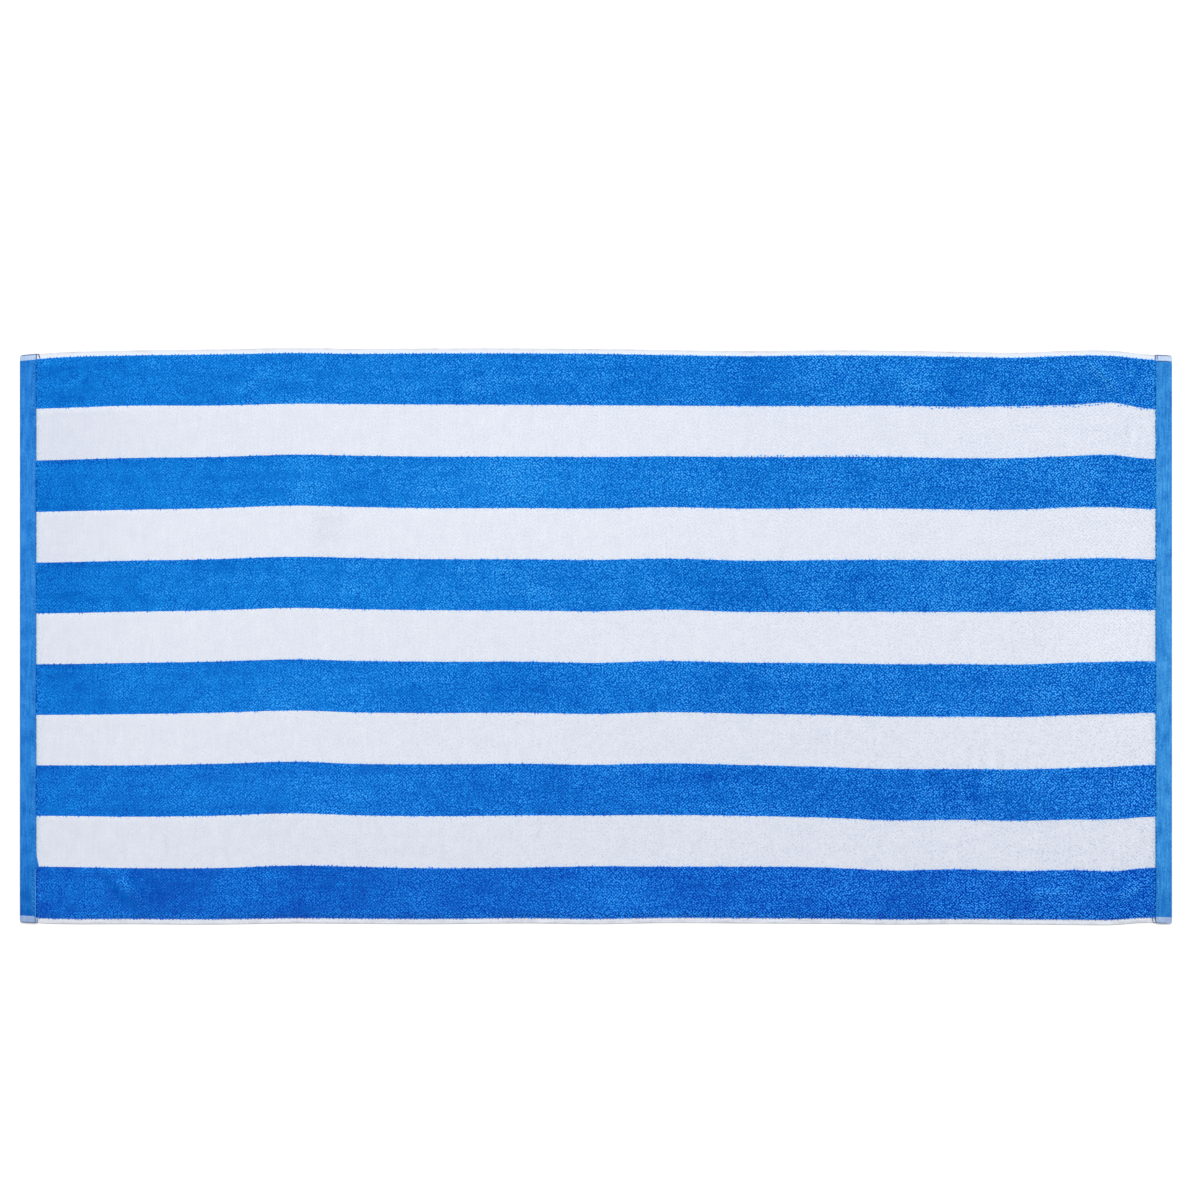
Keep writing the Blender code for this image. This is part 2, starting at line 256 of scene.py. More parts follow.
# %% Lay a flat point down
SELVEDGE_SHOULDER = (
    # distance in from the pile's long edge, share of its height
    (0.0, 0.0),
    (0.5 * MM, 0.55),
    (1.4 * MM, 0.85),
    (3.5 * MM, 1.0),
)
HEM_SHOULDER = (
    # distance in from the pile's short edge, share of its height
    (-0.3 * MM, 0.0),
    (0.0, 0.7),
    (1.0 * MM, 1.0),
)


def drifted(along, across):
    """Where the cloth's places across come to lie, once its threads have drifted."""
    return across + thread_drift(along, across) + OUTLINE_SHIFT


def laid(along, across, height):
    """Points of the laid cloth as an array of (x, y, z)."""
    y = drifted(along, across)
    return np.column_stack([along, y, height + creases_at(along, y, RIDGES)])


def pressed(along, across):
    """How deep the pile is pressed down at each place, by its troughs."""
    return creases_at(along, drifted(along, across), TROUGHS)


def selvedge_share(across):
    """Share of the pile's full height beside the selvedges, where its edge is free."""
    return np.interp(STRIPES_WIDTH / 2 - np.abs(across), *zip(*SELVEDGE_SHOULDER))


def pile_share(along, across):
    """Share of the pile's full height: 1 inside, and falling away at its edges. The hems hold it
    upright, so there it stands nearly full height up to the fold."""
    beside_hem = np.interp(PILE_LENGTH / 2 - np.abs(along), *zip(*HEM_SHOULDER))
    return np.minimum(beside_hem, selvedge_share(across))


corner = laid(np.array([TOWEL_LENGTH / 2]), np.array([TOWEL_WIDTH / 2]), np.zeros(1))[0]
print("the far right corner lies at", corner.round(4))

# %% [markdown]
# ## Making a piece from arrays
#
# Thousands of loops are quickest to make as one joined mesh from arrays of points and faces. One
# helper makes the object, shades it smooth, stores a few values on its points for the material to
# read, and ties it to the towel's body: it rides on it and stands in for its solid.


def make_piece(name, points, faces, finishes, face_finish=None, values=None):
    """A smooth mesh piece of the towel. values holds named numbers, one for each point."""
    mesh = bpy.data.meshes.new(name)
    mesh.from_pydata(points.tolist(), [], faces.tolist() if hasattr(faces, "tolist") else faces)
    mesh.shade_smooth()
    for finish in finishes:
        mesh.materials.append(finish)
    if face_finish is not None:
        mesh.polygons.foreach_set("material_index", np.asarray(face_finish, dtype=np.int32))
    for value_name, numbers in (values or {}).items():
        attribute = mesh.attributes.new(value_name, "FLOAT", "POINT")
        attribute.data.foreach_set("value", np.asarray(numbers, dtype=np.float32))
    mesh.update()
    piece = bpy.data.objects.new(name, mesh)
    bpy.context.scene.collection.objects.link(piece)
    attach(piece, "root")
    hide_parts("towel_cloth")
    print(name, "has", len(mesh.polygons), "faces")
    return piece


# %% [markdown]
# ## Helpers for materials
#
# A finish is a small tree of nodes that ends in a Principled shader. Writing each link by hand makes
# long scripts, so helpers do it: one adds a node and sets or links its inputs, one starts a finish,
# and the others stand for a few nodes that every finish needs, such as a sum, a noise or a bump.
# Cotton is dull, so every finish of the cloth is rough and has only a faint sheen.

# %% Material helpers
COTTON_ROUGHNESS = 0.95
COTTON_SHEEN = 0.01
SHEEN_ROUGHNESS = 0.6
COTTON_SHINE = 0.01
NOISE_SPREAD = (0.3, 0.7)


def add_node(tree, kind, settings=None, **inputs):
    """Adds a node. Each input is a number, a colour or another node's output."""
    node = tree.nodes.new(kind)
    for key, value in (settings or {}).items():
        setattr(node, key, value)
    for key, value in inputs.items():
        socket = node.inputs[int(key[1:])] if key[1:].isdigit() else node.inputs[key.replace("_", " ")]
        if isinstance(value, bpy.types.NodeSocket):
            tree.links.new(value, socket)
        else:
            socket.default_value = value
    return node


def start_finish(name, roughness=COTTON_ROUGHNESS, sheen=COTTON_SHEEN):
    """A new material, and its tree and shader."""
    material = bpy.data.materials.new(name)
    material.use_nodes = True
    tree = material.node_tree
    shader = tree.nodes["Principled BSDF"]
    shader.inputs["Roughness"].default_value = roughness
    shader.inputs["Sheen Weight"].default_value = sheen
    shader.inputs["Sheen Roughness"].default_value = SHEEN_ROUGHNESS
    shader.inputs["Specular IOR Level"].default_value = COTTON_SHINE
    return material, tree, shader


def noise(tree, place, size, detail=2.0):
    """Noise whose lumps are about this size, from 0 to 1."""
    made = add_node(tree, "ShaderNodeTexNoise", Vector=place, Scale=1 / size, Detail=detail)
    return made.outputs["Fac"]


def rescaled(tree, value, low_from, high_from, low_to, high_to):
    """The value carried from one range to another, and held inside it."""
    made = add_node(tree, "ShaderNodeMapRange", Value=value, From_Min=low_from, From_Max=high_from,
                    To_Min=low_to, To_Max=high_to)
    return made.outputs["Result"]


def swung(tree, value, amount):
    """A noise carried to between minus and plus this amount."""
    return rescaled(tree, value, *NOISE_SPREAD, -amount, amount)


def joined(tree, operation, first, second):
    """Two numbers or outputs put through a Math node."""
    return add_node(tree, "ShaderNodeMath", {"operation": operation}, i0=first, i1=second).outputs[0]


def product(tree, first, second):
    """One value times the other."""
    return joined(tree, "MULTIPLY", first, second)


def total(tree, so_far, *values):
    """The sum of numbers and outputs."""
    for value in values:
        so_far = joined(tree, "ADD", so_far, value)
    return so_far


def drawn_out(tree, place, length_x, length_y):
    """Places scaled so that a noise of size 1 makes streaks of these lengths."""
    scale = (1 / length_x, 1 / length_y, 1 / min(length_x, length_y))
    return add_node(tree, "ShaderNodeVectorMath", {"operation": "MULTIPLY"}, i0=place,
                    i1=scale).outputs["Vector"]


def stored(tree, name):
    """A value that is stored on the points of the mesh."""
    return add_node(tree, "ShaderNodeAttribute", {"attribute_name": name}).outputs["Fac"]


def colour_along(tree, shade, colours):
    """The colours from deep to pale, each half a unit of shade after the last, which is at 1."""
    deepest = 1 - (len(colours) - 1) / 2
    placed = rescaled(tree, shade, deepest, 1, 0, 1)
    ramp = add_node(tree, "ShaderNodeValToRGB", Fac=placed)
    elements = ramp.color_ramp.elements
    for step in range(1, len(colours) - 1):
        elements.new(step / (len(colours) - 1))
    for element, colour in zip(elements, colours):
        element.color = (*colour, 1)
    return ramp.outputs["Color"]


def bumped(tree, shader, height, distance, strength=1.0):
    """Gives the shader small bumps of this depth."""
    made = add_node(tree, "ShaderNodeBump", Height=height, Distance=distance, Strength=strength)
    tree.links.new(made.outputs["Normal"], shader.inputs["Normal"])


# %% [markdown]
# ## The finish of the pile
#
# A terry loop is a twisted cotton yarn. Its crest catches the light and looks paler, and between
# loops the colour is deep, because light bounces from blue to blue before it comes out. Both are
# painted into the colour here: a painted highlight on the crests and painted shade between loops. One
# flat blue would lose this, and so would one blue made lighter and darker, since deep blue turns less
# green, not only darker. So each finish is a row of four colours from deep to pale, and everything
# that varies is added into one shade that picks the colour: "crest", 0 at a loop's foot and 1 on top,
# which paints the highlight; "tone", a little different for each loop; fine fibres; "shade", which
# stripes, creases and stroked patches have; and slow noises in patches, in clouds and in streaks along
# the warp. "grain" says how strongly crest, tone and fibres show. Last comes a tint, as strong as
# "tint" says, which is painted light: the nearer blue stripes, which get less light, are painted a
# trace more violet as painted shade, blue pile near white takes a trace of the white's light, and
# white pile takes on a little painted blue light from the blue cloth beside it.

# %% Pile finish
PATCH_SIZE = 20 * MM
CLOUD_SIZE = 90 * MM
STREAK_SIZE = (110 * MM, 9 * MM)
FIBRE_SIZE = 1.2 * MM
TWIST_SIZE = 0.6 * MM
TWIST_DEPTH = 0.4 * MM
STRIPE_LOOKS = (
    # The paler column is partly painted shade that deepens the nearer stripes. The nearer blue ones
    # also get a painted shade tint, a trace more violet.
    # from the near edge: how much paler, how strong the shade tint, how strong the grain
    (-0.185, 0.34, 0.95),
    (-0.135, 0.0, 1.75),
    (-0.055, 0.18, 1.0),
    (-0.03, 0.0, 1.4),
    (0.015, 0.08, 1.0),
    (0.0, 0.0, 1.1),
    (0.045, 0.0, 1.0),
    (0.0, 0.0, 0.85),
    (0.07, 0.0, 1.05),
    (-0.06, 0.0, 0.65),
    (0.02, 0.0, 1.0),
)
# The blue pile's tint is painted light: painted shade on the nearer stripes, and light from the white
# pile near borders.
BLUE_PAINTED_LIGHT_TINT = ("ADD", (0.026, 0.0, 0.25, 1.0))
# The white pile's tint is painted blue light from the blue cloth beside it.
BESIDE_BLUE_TINT = ("MULTIPLY", (0.60, 0.92, 1.0, 1.0))


def pile_finish(name, colours, tint, base_shade, crest_share, tone_swing, slow_swing, fibre_swing):
    """A finish of looped pile. Each swing says how far that part moves the shade up or down."""
    material, tree, shader = start_finish(name)
    place = add_node(tree, "ShaderNodeTexCoord").outputs["Object"]
    grain = total(
        tree,
        product(tree, total(tree, stored(tree, "crest"), -0.5), crest_share),
        product(tree, stored(tree, "tone"), tone_swing),
        swung(tree, noise(tree, place, FIBRE_SIZE), fibre_swing),
    )
    shade = total(
        tree,
        base_shade,
        product(tree, grain, stored(tree, "grain")),
        stored(tree, "shade"),
        swung(tree, noise(tree, place, PATCH_SIZE), slow_swing),
        swung(tree, noise(tree, place, CLOUD_SIZE), slow_swing),
        swung(tree, noise(tree, drawn_out(tree, place, *STREAK_SIZE), 1.0), slow_swing),
    )
    blend, tint_colour = tint
    tinted = add_node(tree, "ShaderNodeMixRGB", {"blend_type": blend}, Fac=stored(tree, "tint"),
                      Color1=colour_along(tree, shade, colours), Color2=tint_colour)
    tree.links.new(tinted.outputs["Color"], shader.inputs["Base Color"])
    bumped(tree, shader, noise(tree, place, TWIST_SIZE, detail=3.0), TWIST_DEPTH)
    return material


BLUE_COLOURS = (
    (0.000, 0.026, 0.255),
    (0.001, 0.1025, 0.435),
    (0.0120, 0.265, 0.758),
    (0.068, 0.452, 0.950),
)
WHITE_COLOURS = (
    (0.464, 0.502, 0.632),
    (0.542, 0.577, 0.686),
    (0.623, 0.652, 0.740),
    (0.712, 0.732, 0.789),
)
blue_pile = pile_finish("blue_pile", BLUE_COLOURS, BLUE_PAINTED_LIGHT_TINT, base_shade=0.475,
                        crest_share=0.18, tone_swing=0.20, slow_swing=0.11, fibre_swing=0.32)
white_pile = pile_finish("white_pile", WHITE_COLOURS, BESIDE_BLUE_TINT, base_shade=0.40,
                         crest_share=0.22, tone_swing=0.20, slow_swing=0.07, fibre_swing=0.22)
print("pile finishes:", blue_pile.name, white_pile.name)

# %% [markdown]
# ## The finish of the flat weave
#
# Selvedges and hems are plain woven, without loops. Up close such cloth is a fine grid of threads.
# Real threads could be woven here, but they are thinner than anything that shows. Two wave textures
# at right angles, one for each set of threads, give their grid as a bump, and a streaky noise drawn
# out along the threads gives the uneven dye and tension. The colour is picked by one shade again,
# from deep to pale. The ground under the pile and the sewing threads share this finish.

# %% Weave finish
WEAVE_ROUGHNESS = 0.85
THREAD_PITCH = 0.9 * MM
THREAD_WANDER = 0.6
THREAD_DEPTH = 0.2 * MM
THREAD_STRENGTH = 0.6
DYE_PATCH_SIZE = 16 * MM
DYE_FLECK_SIZE = 1.6 * MM
STREAKS_ACROSS = (2.5 * MM, 30 * MM)
STREAKS_ALONG = (30 * MM, 2.5 * MM)


def weave_finish(name, colours, streak_swing, patch_swing, fleck_swing, streak_size=STREAKS_ACROSS):
    """A finish of flat weave. Each swing says how far that part moves the shade up or down."""
    material, tree, shader = start_finish(name, WEAVE_ROUGHNESS)
    place = add_node(tree, "ShaderNodeTexCoord").outputs["Object"]
    shade = total(
        tree,
        0.5,
        stored(tree, "shade"),
        swung(tree, noise(tree, drawn_out(tree, place, *streak_size), 1.0), streak_swing),
        swung(tree, noise(tree, place, DYE_PATCH_SIZE), patch_swing),
        swung(tree, noise(tree, place, DYE_FLECK_SIZE), fleck_swing),
    )
    tree.links.new(colour_along(tree, shade, colours), shader.inputs["Base Color"])
    waves = []
    for direction in ("X", "Y"):
        settings = {"wave_type": "BANDS", "bands_direction": direction}
        wave = add_node(tree, "ShaderNodeTexWave", settings, Vector=place,
                        Scale=pi / (10 * THREAD_PITCH), Distortion=THREAD_WANDER, Detail=1.0)
        waves.append(wave.outputs["Fac"])
    bumped(tree, shader, product(tree, *waves), THREAD_DEPTH, THREAD_STRENGTH)
    return material


LEFT_WEAVE = ((0.004, 0.095, 0.400), (0.018, 0.180, 0.550), (0.050, 0.270, 0.680))
RIGHT_WEAVE = ((0.012, 0.135, 0.460), (0.036, 0.240, 0.600), (0.080, 0.340, 0.720))
# The white weave's palest colour is blue: painted blue light from the blue pile beside the selvedge.
WHITE_WEAVE = ((0.480, 0.495, 0.545), (0.690, 0.712, 0.765), (0.575, 0.715, 0.920))
# The folded weave also covers the white stripes' ends, where its blue is painted blue light from the
# hems.
FOLDED_WEAVE = (
    (0.200, 0.300, 0.500),
    (0.270, 0.375, 0.590),
    (0.350, 0.460, 0.655),
    (0.460, 0.560, 0.725),
)
# The blue ground is deeper than the blue loops: painted shade in the gaps between them.
BLUE_GROUND_SHADE = ((0.000, 0.026, 0.320), (0.001, 0.098, 0.445), (0.004, 0.200, 0.620))
WHITE_GROUND = ((0.560, 0.588, 0.668), (0.650, 0.675, 0.750), (0.740, 0.762, 0.832))
DARK_THREAD = ((0.030, 0.060, 0.160), (0.048, 0.085, 0.215), (0.075, 0.125, 0.290))
# The needle holes' dark threads paint the shade inside the holes.
HOLE_SHADE_THREAD = ((0.003, 0.070, 0.330), (0.006, 0.105, 0.430), (0.012, 0.150, 0.520))
STITCH_THREAD = ((0.025, 0.190, 0.560), (0.055, 0.260, 0.660), (0.090, 0.340, 0.740))
left_weave = weave_finish("left_hem_weave", LEFT_WEAVE, 0.20, 0.14, 0.22)
right_weave = weave_finish("right_hem_weave", RIGHT_WEAVE, 0.24, 0.16, 0.28)
white_weave = weave_finish("white_weave", WHITE_WEAVE, 0.15, 0.10, 0.12, STREAKS_ALONG)
folded_weave = weave_finish("folded_weave", FOLDED_WEAVE, 0.20, 0.15, 0.25)
blue_ground_shade = weave_finish("blue_ground_shade", BLUE_GROUND_SHADE, 0.1, 0.1, 0.2)
white_ground = weave_finish("white_ground", WHITE_GROUND, 0.1, 0.1, 0.1)
dark_thread = weave_finish("dark_thread", DARK_THREAD, 0.2, 0.2, 0.2)
hole_shade_thread = weave_finish("hole_shade_thread", HOLE_SHADE_THREAD, 0.2, 0.2, 0.2)
stitch_thread = weave_finish("stitch_thread", STITCH_THREAD, 0.2, 0.2, 0.2)
print("finishes so far:", len(bpy.data.materials))

# %% [markdown]
# ## Patches that were stroked
#
# Pile that was stroked one way or the other turns its loops more or less to the eye, so the cloth
# shows broad paler and deeper patches from when it was smoothed out, and small blotches where it was
# handled. A noise could place them, but these are the real ones, so the largest are listed as
# soft ovals, and noise in the finish adds the small ones. The ground cloth follows them as well, or
# it would show between the loops as specks.
# A few ovals are painted light instead: the left end is painted deeper, partly as painted shade; a
# narrow paler strip along the left hem's fold is painted light over the fold's shadow; and one white
# oval paints shade into a trough.

# %% Stroked patches
NAP_STRENGTH = {"blue": 2.1, "white": 2.5}
NAP_PATCHES = {
    # middle along, middle across, half length, half width (m), how much paler
    "blue": (
        # These two paint the left end deeper: partly painted shade.
        (-0.740, 0.110, 0.190, 0.240, -0.052),
        (-0.740, 0.000, 0.120, 0.500, -0.020),
        # A narrow paler strip along the left hem's fold: painted light over the fold's shadow.
        (-0.7405, 0.000, 0.005, 1.000, 0.050),
        (-0.110, 0.203, 0.210, 0.050, 0.060),
        (-0.380, 0.210, 0.060, 0.040, 0.045),
        (-0.240, 0.068, 0.250, 0.050, 0.028),
        (-0.400, -0.068, 0.200, 0.050, 0.028),
        (-0.390, -0.203, 0.230, 0.050, 0.042),
        (-0.280, 0.340, 0.150, 0.040, 0.030),
        (0.345, 0.068, 0.075, 0.050, -0.060),
        (0.200, 0.060, 0.140, 0.050, -0.035),
        (0.190, -0.072, 0.140, 0.050, -0.045),
        (-0.070, -0.073, 0.090, 0.040, -0.040),
        (0.300, -0.203, 0.300, 0.050, -0.018),
        (0.138, -0.187, 0.170, 0.013, -0.060),
        (0.475, -0.202, 0.050, 0.036, -0.045),
        (0.500, 0.203, 0.180, 0.050, -0.030),
        (0.690, 0.068, 0.060, 0.050, 0.055),
        (0.670, -0.072, 0.080, 0.050, 0.030),
        (0.600, -0.203, 0.110, 0.050, 0.040),
        (0.650, -0.340, 0.120, 0.050, 0.050),
        (-0.570, -0.340, 0.070, 0.050, -0.055),
        (-0.380, -0.340, 0.060, 0.040, -0.030),
        (0.020, -0.343, 0.110, 0.040, 0.065),
        (0.420, 0.345, 0.060, 0.040, 0.035),
        (-0.700, 0.345, 0.080, 0.040, -0.020),
        (0.210, 0.345, 0.080, 0.040, -0.025),
        (-0.697, -0.308, 0.014, 0.011, -0.090),
        (-0.639, -0.339, 0.013, 0.010, -0.070),
        (-0.730, -0.358, 0.016, 0.013, -0.090),
        (-0.696, -0.361, 0.012, 0.010, -0.070),
        (-0.670, -0.357, 0.012, 0.010, -0.070),
        (-0.608, -0.312, 0.013, 0.010, -0.080),
        (-0.627, -0.324, 0.012, 0.009, 0.040),
        (-0.640, -0.362, 0.014, 0.009, 0.040),
    ),
    "white": (
        # These two paint the left end deeper: partly painted shade.
        (-0.760, 0.330, 0.260, 0.420, -0.095),
        (-0.760, 0.000, 0.200, 0.500, -0.050),
        (-0.100, 0.230, 0.420, 0.220, 0.038),
        # This one deepens the trough there: painted shade.
        (-0.356, 0.136, 0.032, 0.060, -0.055),
        (0.220, -0.140, 0.360, 0.110, -0.030),
        (0.690, 0.000, 0.120, 0.220, 0.055),
    ),
}


def nap_shade(x, y, colour):
    """How much paler the stroked patches make pile of this colour."""
    shade = np.zeros(len(x))
    for middle_x, middle_y, half_length, half_width, paler in NAP_PATCHES[colour]:
        away = ((x - middle_x) / half_length) ** 2 + ((y - middle_y) / half_width) ** 2
        shade += NAP_STRENGTH[colour] * paler * (1 - np.minimum(away, 1)) ** 2
    return shade


print("stroked patches:", {colour: len(patches) for colour, patches in NAP_PATCHES.items()})

# %% [markdown]
# ## The ground cloth
#
# Under the loops runs one thin woven sheet, which is also the bare selvedge along both long edges.
# It could be a plain plane. It is a closed sheet instead, with the pile's body in its thickness, so
# that it has an underside and real edges, and so that the loops stand in something. Its rows end
# where the stripes do, because there the colour changes. The selvedge is painted deeper along its
# outer cord, as painted shade on its rounded edge, and deeper all along the near edge, further from
# the lamp, as painted shade too. Next to the blue pile it takes on a little painted blue light, as the
# ends of the white stripes do next to the hems. Between blue loops the sheet is painted a deeper blue
# than the loops, as painted shade in the gaps: paler at the left end, where they lie close over it,
# and deeper at the right end, where they stand open.

# %% Ground cloth rows and columns
GROUND_THICKNESS = 2.0 * MM
GROUND_COLUMN_STEP = 11 * MM
ROWS_IN_STRIPE = 8
# The selvedge's deeper outer rows are painted shade on its rounded edge, and its paler inner rows
# painted blue light from the pile.
SELVEDGE_EDGE = (
    # distance in from the cloth's edge, share of the weave's thickness, how much paler
    (0.0, 0.35, -0.45),
    (0.25 * MM, 0.95, -0.35),
    (0.7 * MM, 1.25, -0.18),
    (1.3 * MM, 1.0, -0.08),
    (3.0 * MM, 0.9, 0.0),
    (5.2 * MM, 1.0, 0.15),
    (SELVEDGE_WIDTH, 1.0, 0.45),
)
# Painted shade: the near selvedge, further from the lamp, is painted deeper.
NEAR_SELVEDGE_PAINTED_SHADE = -0.2
# Painted shade in the gaps between blue loops: how much paler at the left end and at the right end.
GAP_PAINTED_SHADE_AT_ENDS = (0.15, -0.16)
COLOUR_INSET = 0.3 * MM
HEM_OVERLAP = 1.0 * MM
TUCKED_SHARE = 0.75

half_pile = PILE_LENGTH / 2
half_stripes = STRIPES_WIDTH / 2


def left_to_right(along, at_ends):
    """A value that changes evenly from the pile's left end to its right end."""
    return np.interp(along, (-half_pile, half_pile), at_ends)


def ground_rows():
    """Places across the cloth, and the share of the weave's thickness and the shade there."""
    edge = [(TOWEL_WIDTH / 2 - inset, share, shade) for inset, share, shade in SELVEDGE_EDGE]
    body = list(np.linspace(-half_stripes, half_stripes, STRIPE_COUNT * ROWS_IN_STRIPE + 1)[1:-1])
    body += [COLOUR_INSET - half_stripes, half_stripes - COLOUR_INSET]
    places = edge + [(-at, share, shade + NEAR_SELVEDGE_PAINTED_SHADE) for at, share, shade in edge]
    stripe = [min(int((at + half_stripes) / STRIPE_WIDTH), STRIPE_COUNT - 1) for at in body]
    return np.array(sorted(places + [(at, 1.0, STRIPE_LOOKS[n][0]) for at, n in zip(body, stripe)]))


def ground_columns():
    """Places along the cloth, with one more at each pile edge, where a hem's base lies over it."""
    inner = half_pile - HEM_OVERLAP
    body = np.linspace(-inner, inner, round(2 * inner / GROUND_COLUMN_STEP) + 1)
    return np.concatenate([[-half_pile - HEM_OVERLAP], body, [half_pile + HEM_OVERLAP]])


def finish_at(along, across):
    """0 for a blue stripe, 1 for a white one, 2 for a selvedge and 3 for a white stripe's end."""
    stripe = np.floor((across + half_stripes) / STRIPE_WIDTH).astype(int)
    is_end = np.abs(along) > half_pile - HEM_OVERLAP
    finish = np.where(is_end & (stripe % 2 == 1), 3, stripe % 2)
    return np.where(np.abs(across) > half_stripes - COLOUR_INSET, 2, finish)


rows, columns = ground_rows(), ground_columns()
print("the ground has", len(columns), "columns and", len(rows), "rows")

# %% Ground cloth piece
def grid_faces(column_count, row_count, flipped=False):
    """Four-sided faces between the columns and rows of a grid of points, row after row."""
    index = np.arange(column_count * row_count).reshape(row_count, column_count)
    a, b, c, d = index[:-1, :-1], index[:-1, 1:], index[1:, 1:], index[1:, :-1]
    order = (d, c, b, a) if flipped else (a, b, c, d)
    return np.stack([corner.ravel() for corner in order], axis=1)


def rim_faces(column_count, row_count):
    """Faces that join the edge of a grid to the edge of its copy under it."""
    index = np.arange(column_count * row_count).reshape(row_count, column_count)
    ring = np.concatenate([index[0, :-1], index[:-1, -1], index[-1, :0:-1], index[:0:-1, 0]])
    after = np.roll(ring, -1)
    under = column_count * row_count
    return np.stack([ring, ring + under, after + under, after], axis=1)


def ground_top(along, across, weave_share):
    """Height of the sheet's upper side, thick under the pile and thin at its edges."""
    tucked = np.where(np.abs(along) > half_pile - 2 * HEM_OVERLAP, TUCKED_SHARE, 1)
    body_share = pile_share(along, across)
    top = WEAVE_THICKNESS * weave_share * tucked + (GROUND_THICKNESS - WEAVE_THICKNESS) * body_share
    return top - pressed(along, across) * body_share


def gap_shade(along, across):
    """How much paler the sheet looks between the loops than its colour alone."""
    y = drifted(along, across)
    # The blue gaps' painted shade changes from the left end to the right end.
    blue = nap_shade(along, y, "blue") + left_to_right(along, GAP_PAINTED_SHADE_AT_ENDS)
    shade = np.where(finish_at(along, across) == 1, nap_shade(along, y, "white"), blue)
    return shade * ((np.abs(along) < half_pile - HEM_OVERLAP) & (np.abs(across) < half_stripes))


def ground_cloth():
    """The closed woven sheet, with its underside and rim."""
    along, across = (grid.ravel() for grid in np.meshgrid(columns, rows[:, 0]))
    weave_share, row_shade = np.repeat(rows[:, 1:], len(columns), axis=0).T
    upper = laid(along, across, ground_top(along, across, weave_share))
    lower = laid(along, across, np.zeros(len(along)))
    grid = (len(columns), len(rows))
    under = grid_faces(*grid, flipped=True) + len(upper)
    faces = np.concatenate([grid_faces(*grid), under, rim_faces(*grid)])
    face_along, face_across = (np.tile(places, 2)[faces].mean(axis=1) for places in (along, across))
    # The white stripes' ends take the folded weave: painted blue light from the hems beside them.
    finishes = [blue_ground_shade, white_ground, white_weave, folded_weave]
    shade = np.tile(row_shade + gap_shade(along, across), 2)
    return make_piece("ground_cloth", np.concatenate([upper, lower]), faces, finishes,
                      finish_at(face_along, face_across), {"shade": shade})


ground = ground_cloth()

# %% [markdown]
# ## The hems
#
# At each short end the flat-woven cloth is turned over twice. Seen from the side it makes a flat
# spiral: out along the surface, round the end, back on top, in again, and a raw edge between. The
# two hems could be plain strips, but the turned section gives the round outer end and the inner
# fold that catches a shadow. The section is worked out from the cloth's thickness, and swept across
# the towel with small puckers where the stitches draw it in. It is pressed flatter at its two ends,
# where its corners are round and the turned white selvedge shows through the blue. In one place of
# the left hem the fold slipped in over the white pile before it was sewn.

# %% Hem section
LAYER_GAP = 0.3 * MM
HEM_FOLD_CLEARANCE = 0.3 * MM
RAW_EDGE_SETBACK = 3 * MM
STACK = 3 * WEAVE_THICKNESS + 2 * LAYER_GAP
TURN_STEPS = 6
TOP_PLACES = (0.8, 0.65, 0.5, 0.35, 0.2, 0.1)


def hem_centre_line():
    """The middle of the cloth in a turned hem, as (distance out from the pile, height)."""
    half = WEAVE_THICKNESS / 2
    end_radius = STACK / 2 - half
    fold_radius = (WEAVE_THICKNESS + LAYER_GAP) / 2
    end_centre = HEM_WIDTH - STACK / 2
    fold_centre = HEM_FOLD_CLEARANCE + fold_radius + half
    line = [(-HEM_OVERLAP / 2, half), (HEM_WIDTH * 0.5, half)]
    for step in range(TURN_STEPS + 1):
        angle = radians(-90 + 180 * step / TURN_STEPS)
        line.append((end_centre + end_radius * cos(angle), STACK / 2 + end_radius * sin(angle)))
    for share in TOP_PLACES:
        line.append((HEM_WIDTH * share, STACK - half))
    for step in range(TURN_STEPS + 1):
        angle = radians(90 + 180 * step / TURN_STEPS)
        height = STACK - half - fold_radius + fold_radius * sin(angle)
        line.append((fold_centre + fold_radius * cos(angle), height))
    line.append((end_centre - RAW_EDGE_SETBACK, STACK - half - 2 * fold_radius))
    return np.array(line)


def hem_outline():
    """The closed outline of the hem's section: one face of the cloth out, the other back."""
    line = hem_centre_line()
    run = np.gradient(line, axis=0)
    run /= np.linalg.norm(run, axis=1)[:, None]
    side = np.column_stack([run[:, 1], -run[:, 0]]) * WEAVE_THICKNESS / 2
    return np.concatenate([line + side, (line - side)[::-1]])


outline = hem_outline()
print("a hem's section has", len(outline), "points")

# %% Hem shape
STITCH_PITCH = 6.2 * MM
SEAM_FROM_FOLD = 2.4 * MM
PUCKER_DEPTH = 0.16 * MM
PUCKER_WIDTH = 2.2 * MM
TOP_LAYER = 1.6 * WEAVE_THICKNESS
END_PRESS = 0.4
END_PRESS_WIDTH = 9 * MM
CORNER_ROUND = 2.2 * MM
SLIPPED_FOLD = (
    # across (m), how far the left hem's fold reaches in over the pile
    (-0.3120, 0.0),
    (-0.3080, 2.2 * MM),
    (-0.3050, 4.2 * MM),
    (-0.2920, 1.3 * MM),
    (-0.2790, 0.0),
)


def hem_rise(across):
    """Share of the hem's full height: less at its two ends, where it was pressed."""
    inset = np.clip((TOWEL_WIDTH / 2 - np.abs(across)) / END_PRESS_WIDTH, 0, 1)
    return 1 - END_PRESS * (1 - ease(inset))


def fold_reach(side, across):
    """How far a hem's fold reaches in over the pile. side is -1 for the left hem."""
    return np.interp(across, *zip(*SLIPPED_FOLD)) * (side < 0)


def corner_cut(across):
    """How far a hem's end falls short near its corners, which are round."""
    inset = np.clip(TOWEL_WIDTH / 2 - np.abs(across), 0, CORNER_ROUND)
    return CORNER_ROUND - np.sqrt(CORNER_ROUND ** 2 - (CORNER_ROUND - inset) ** 2)


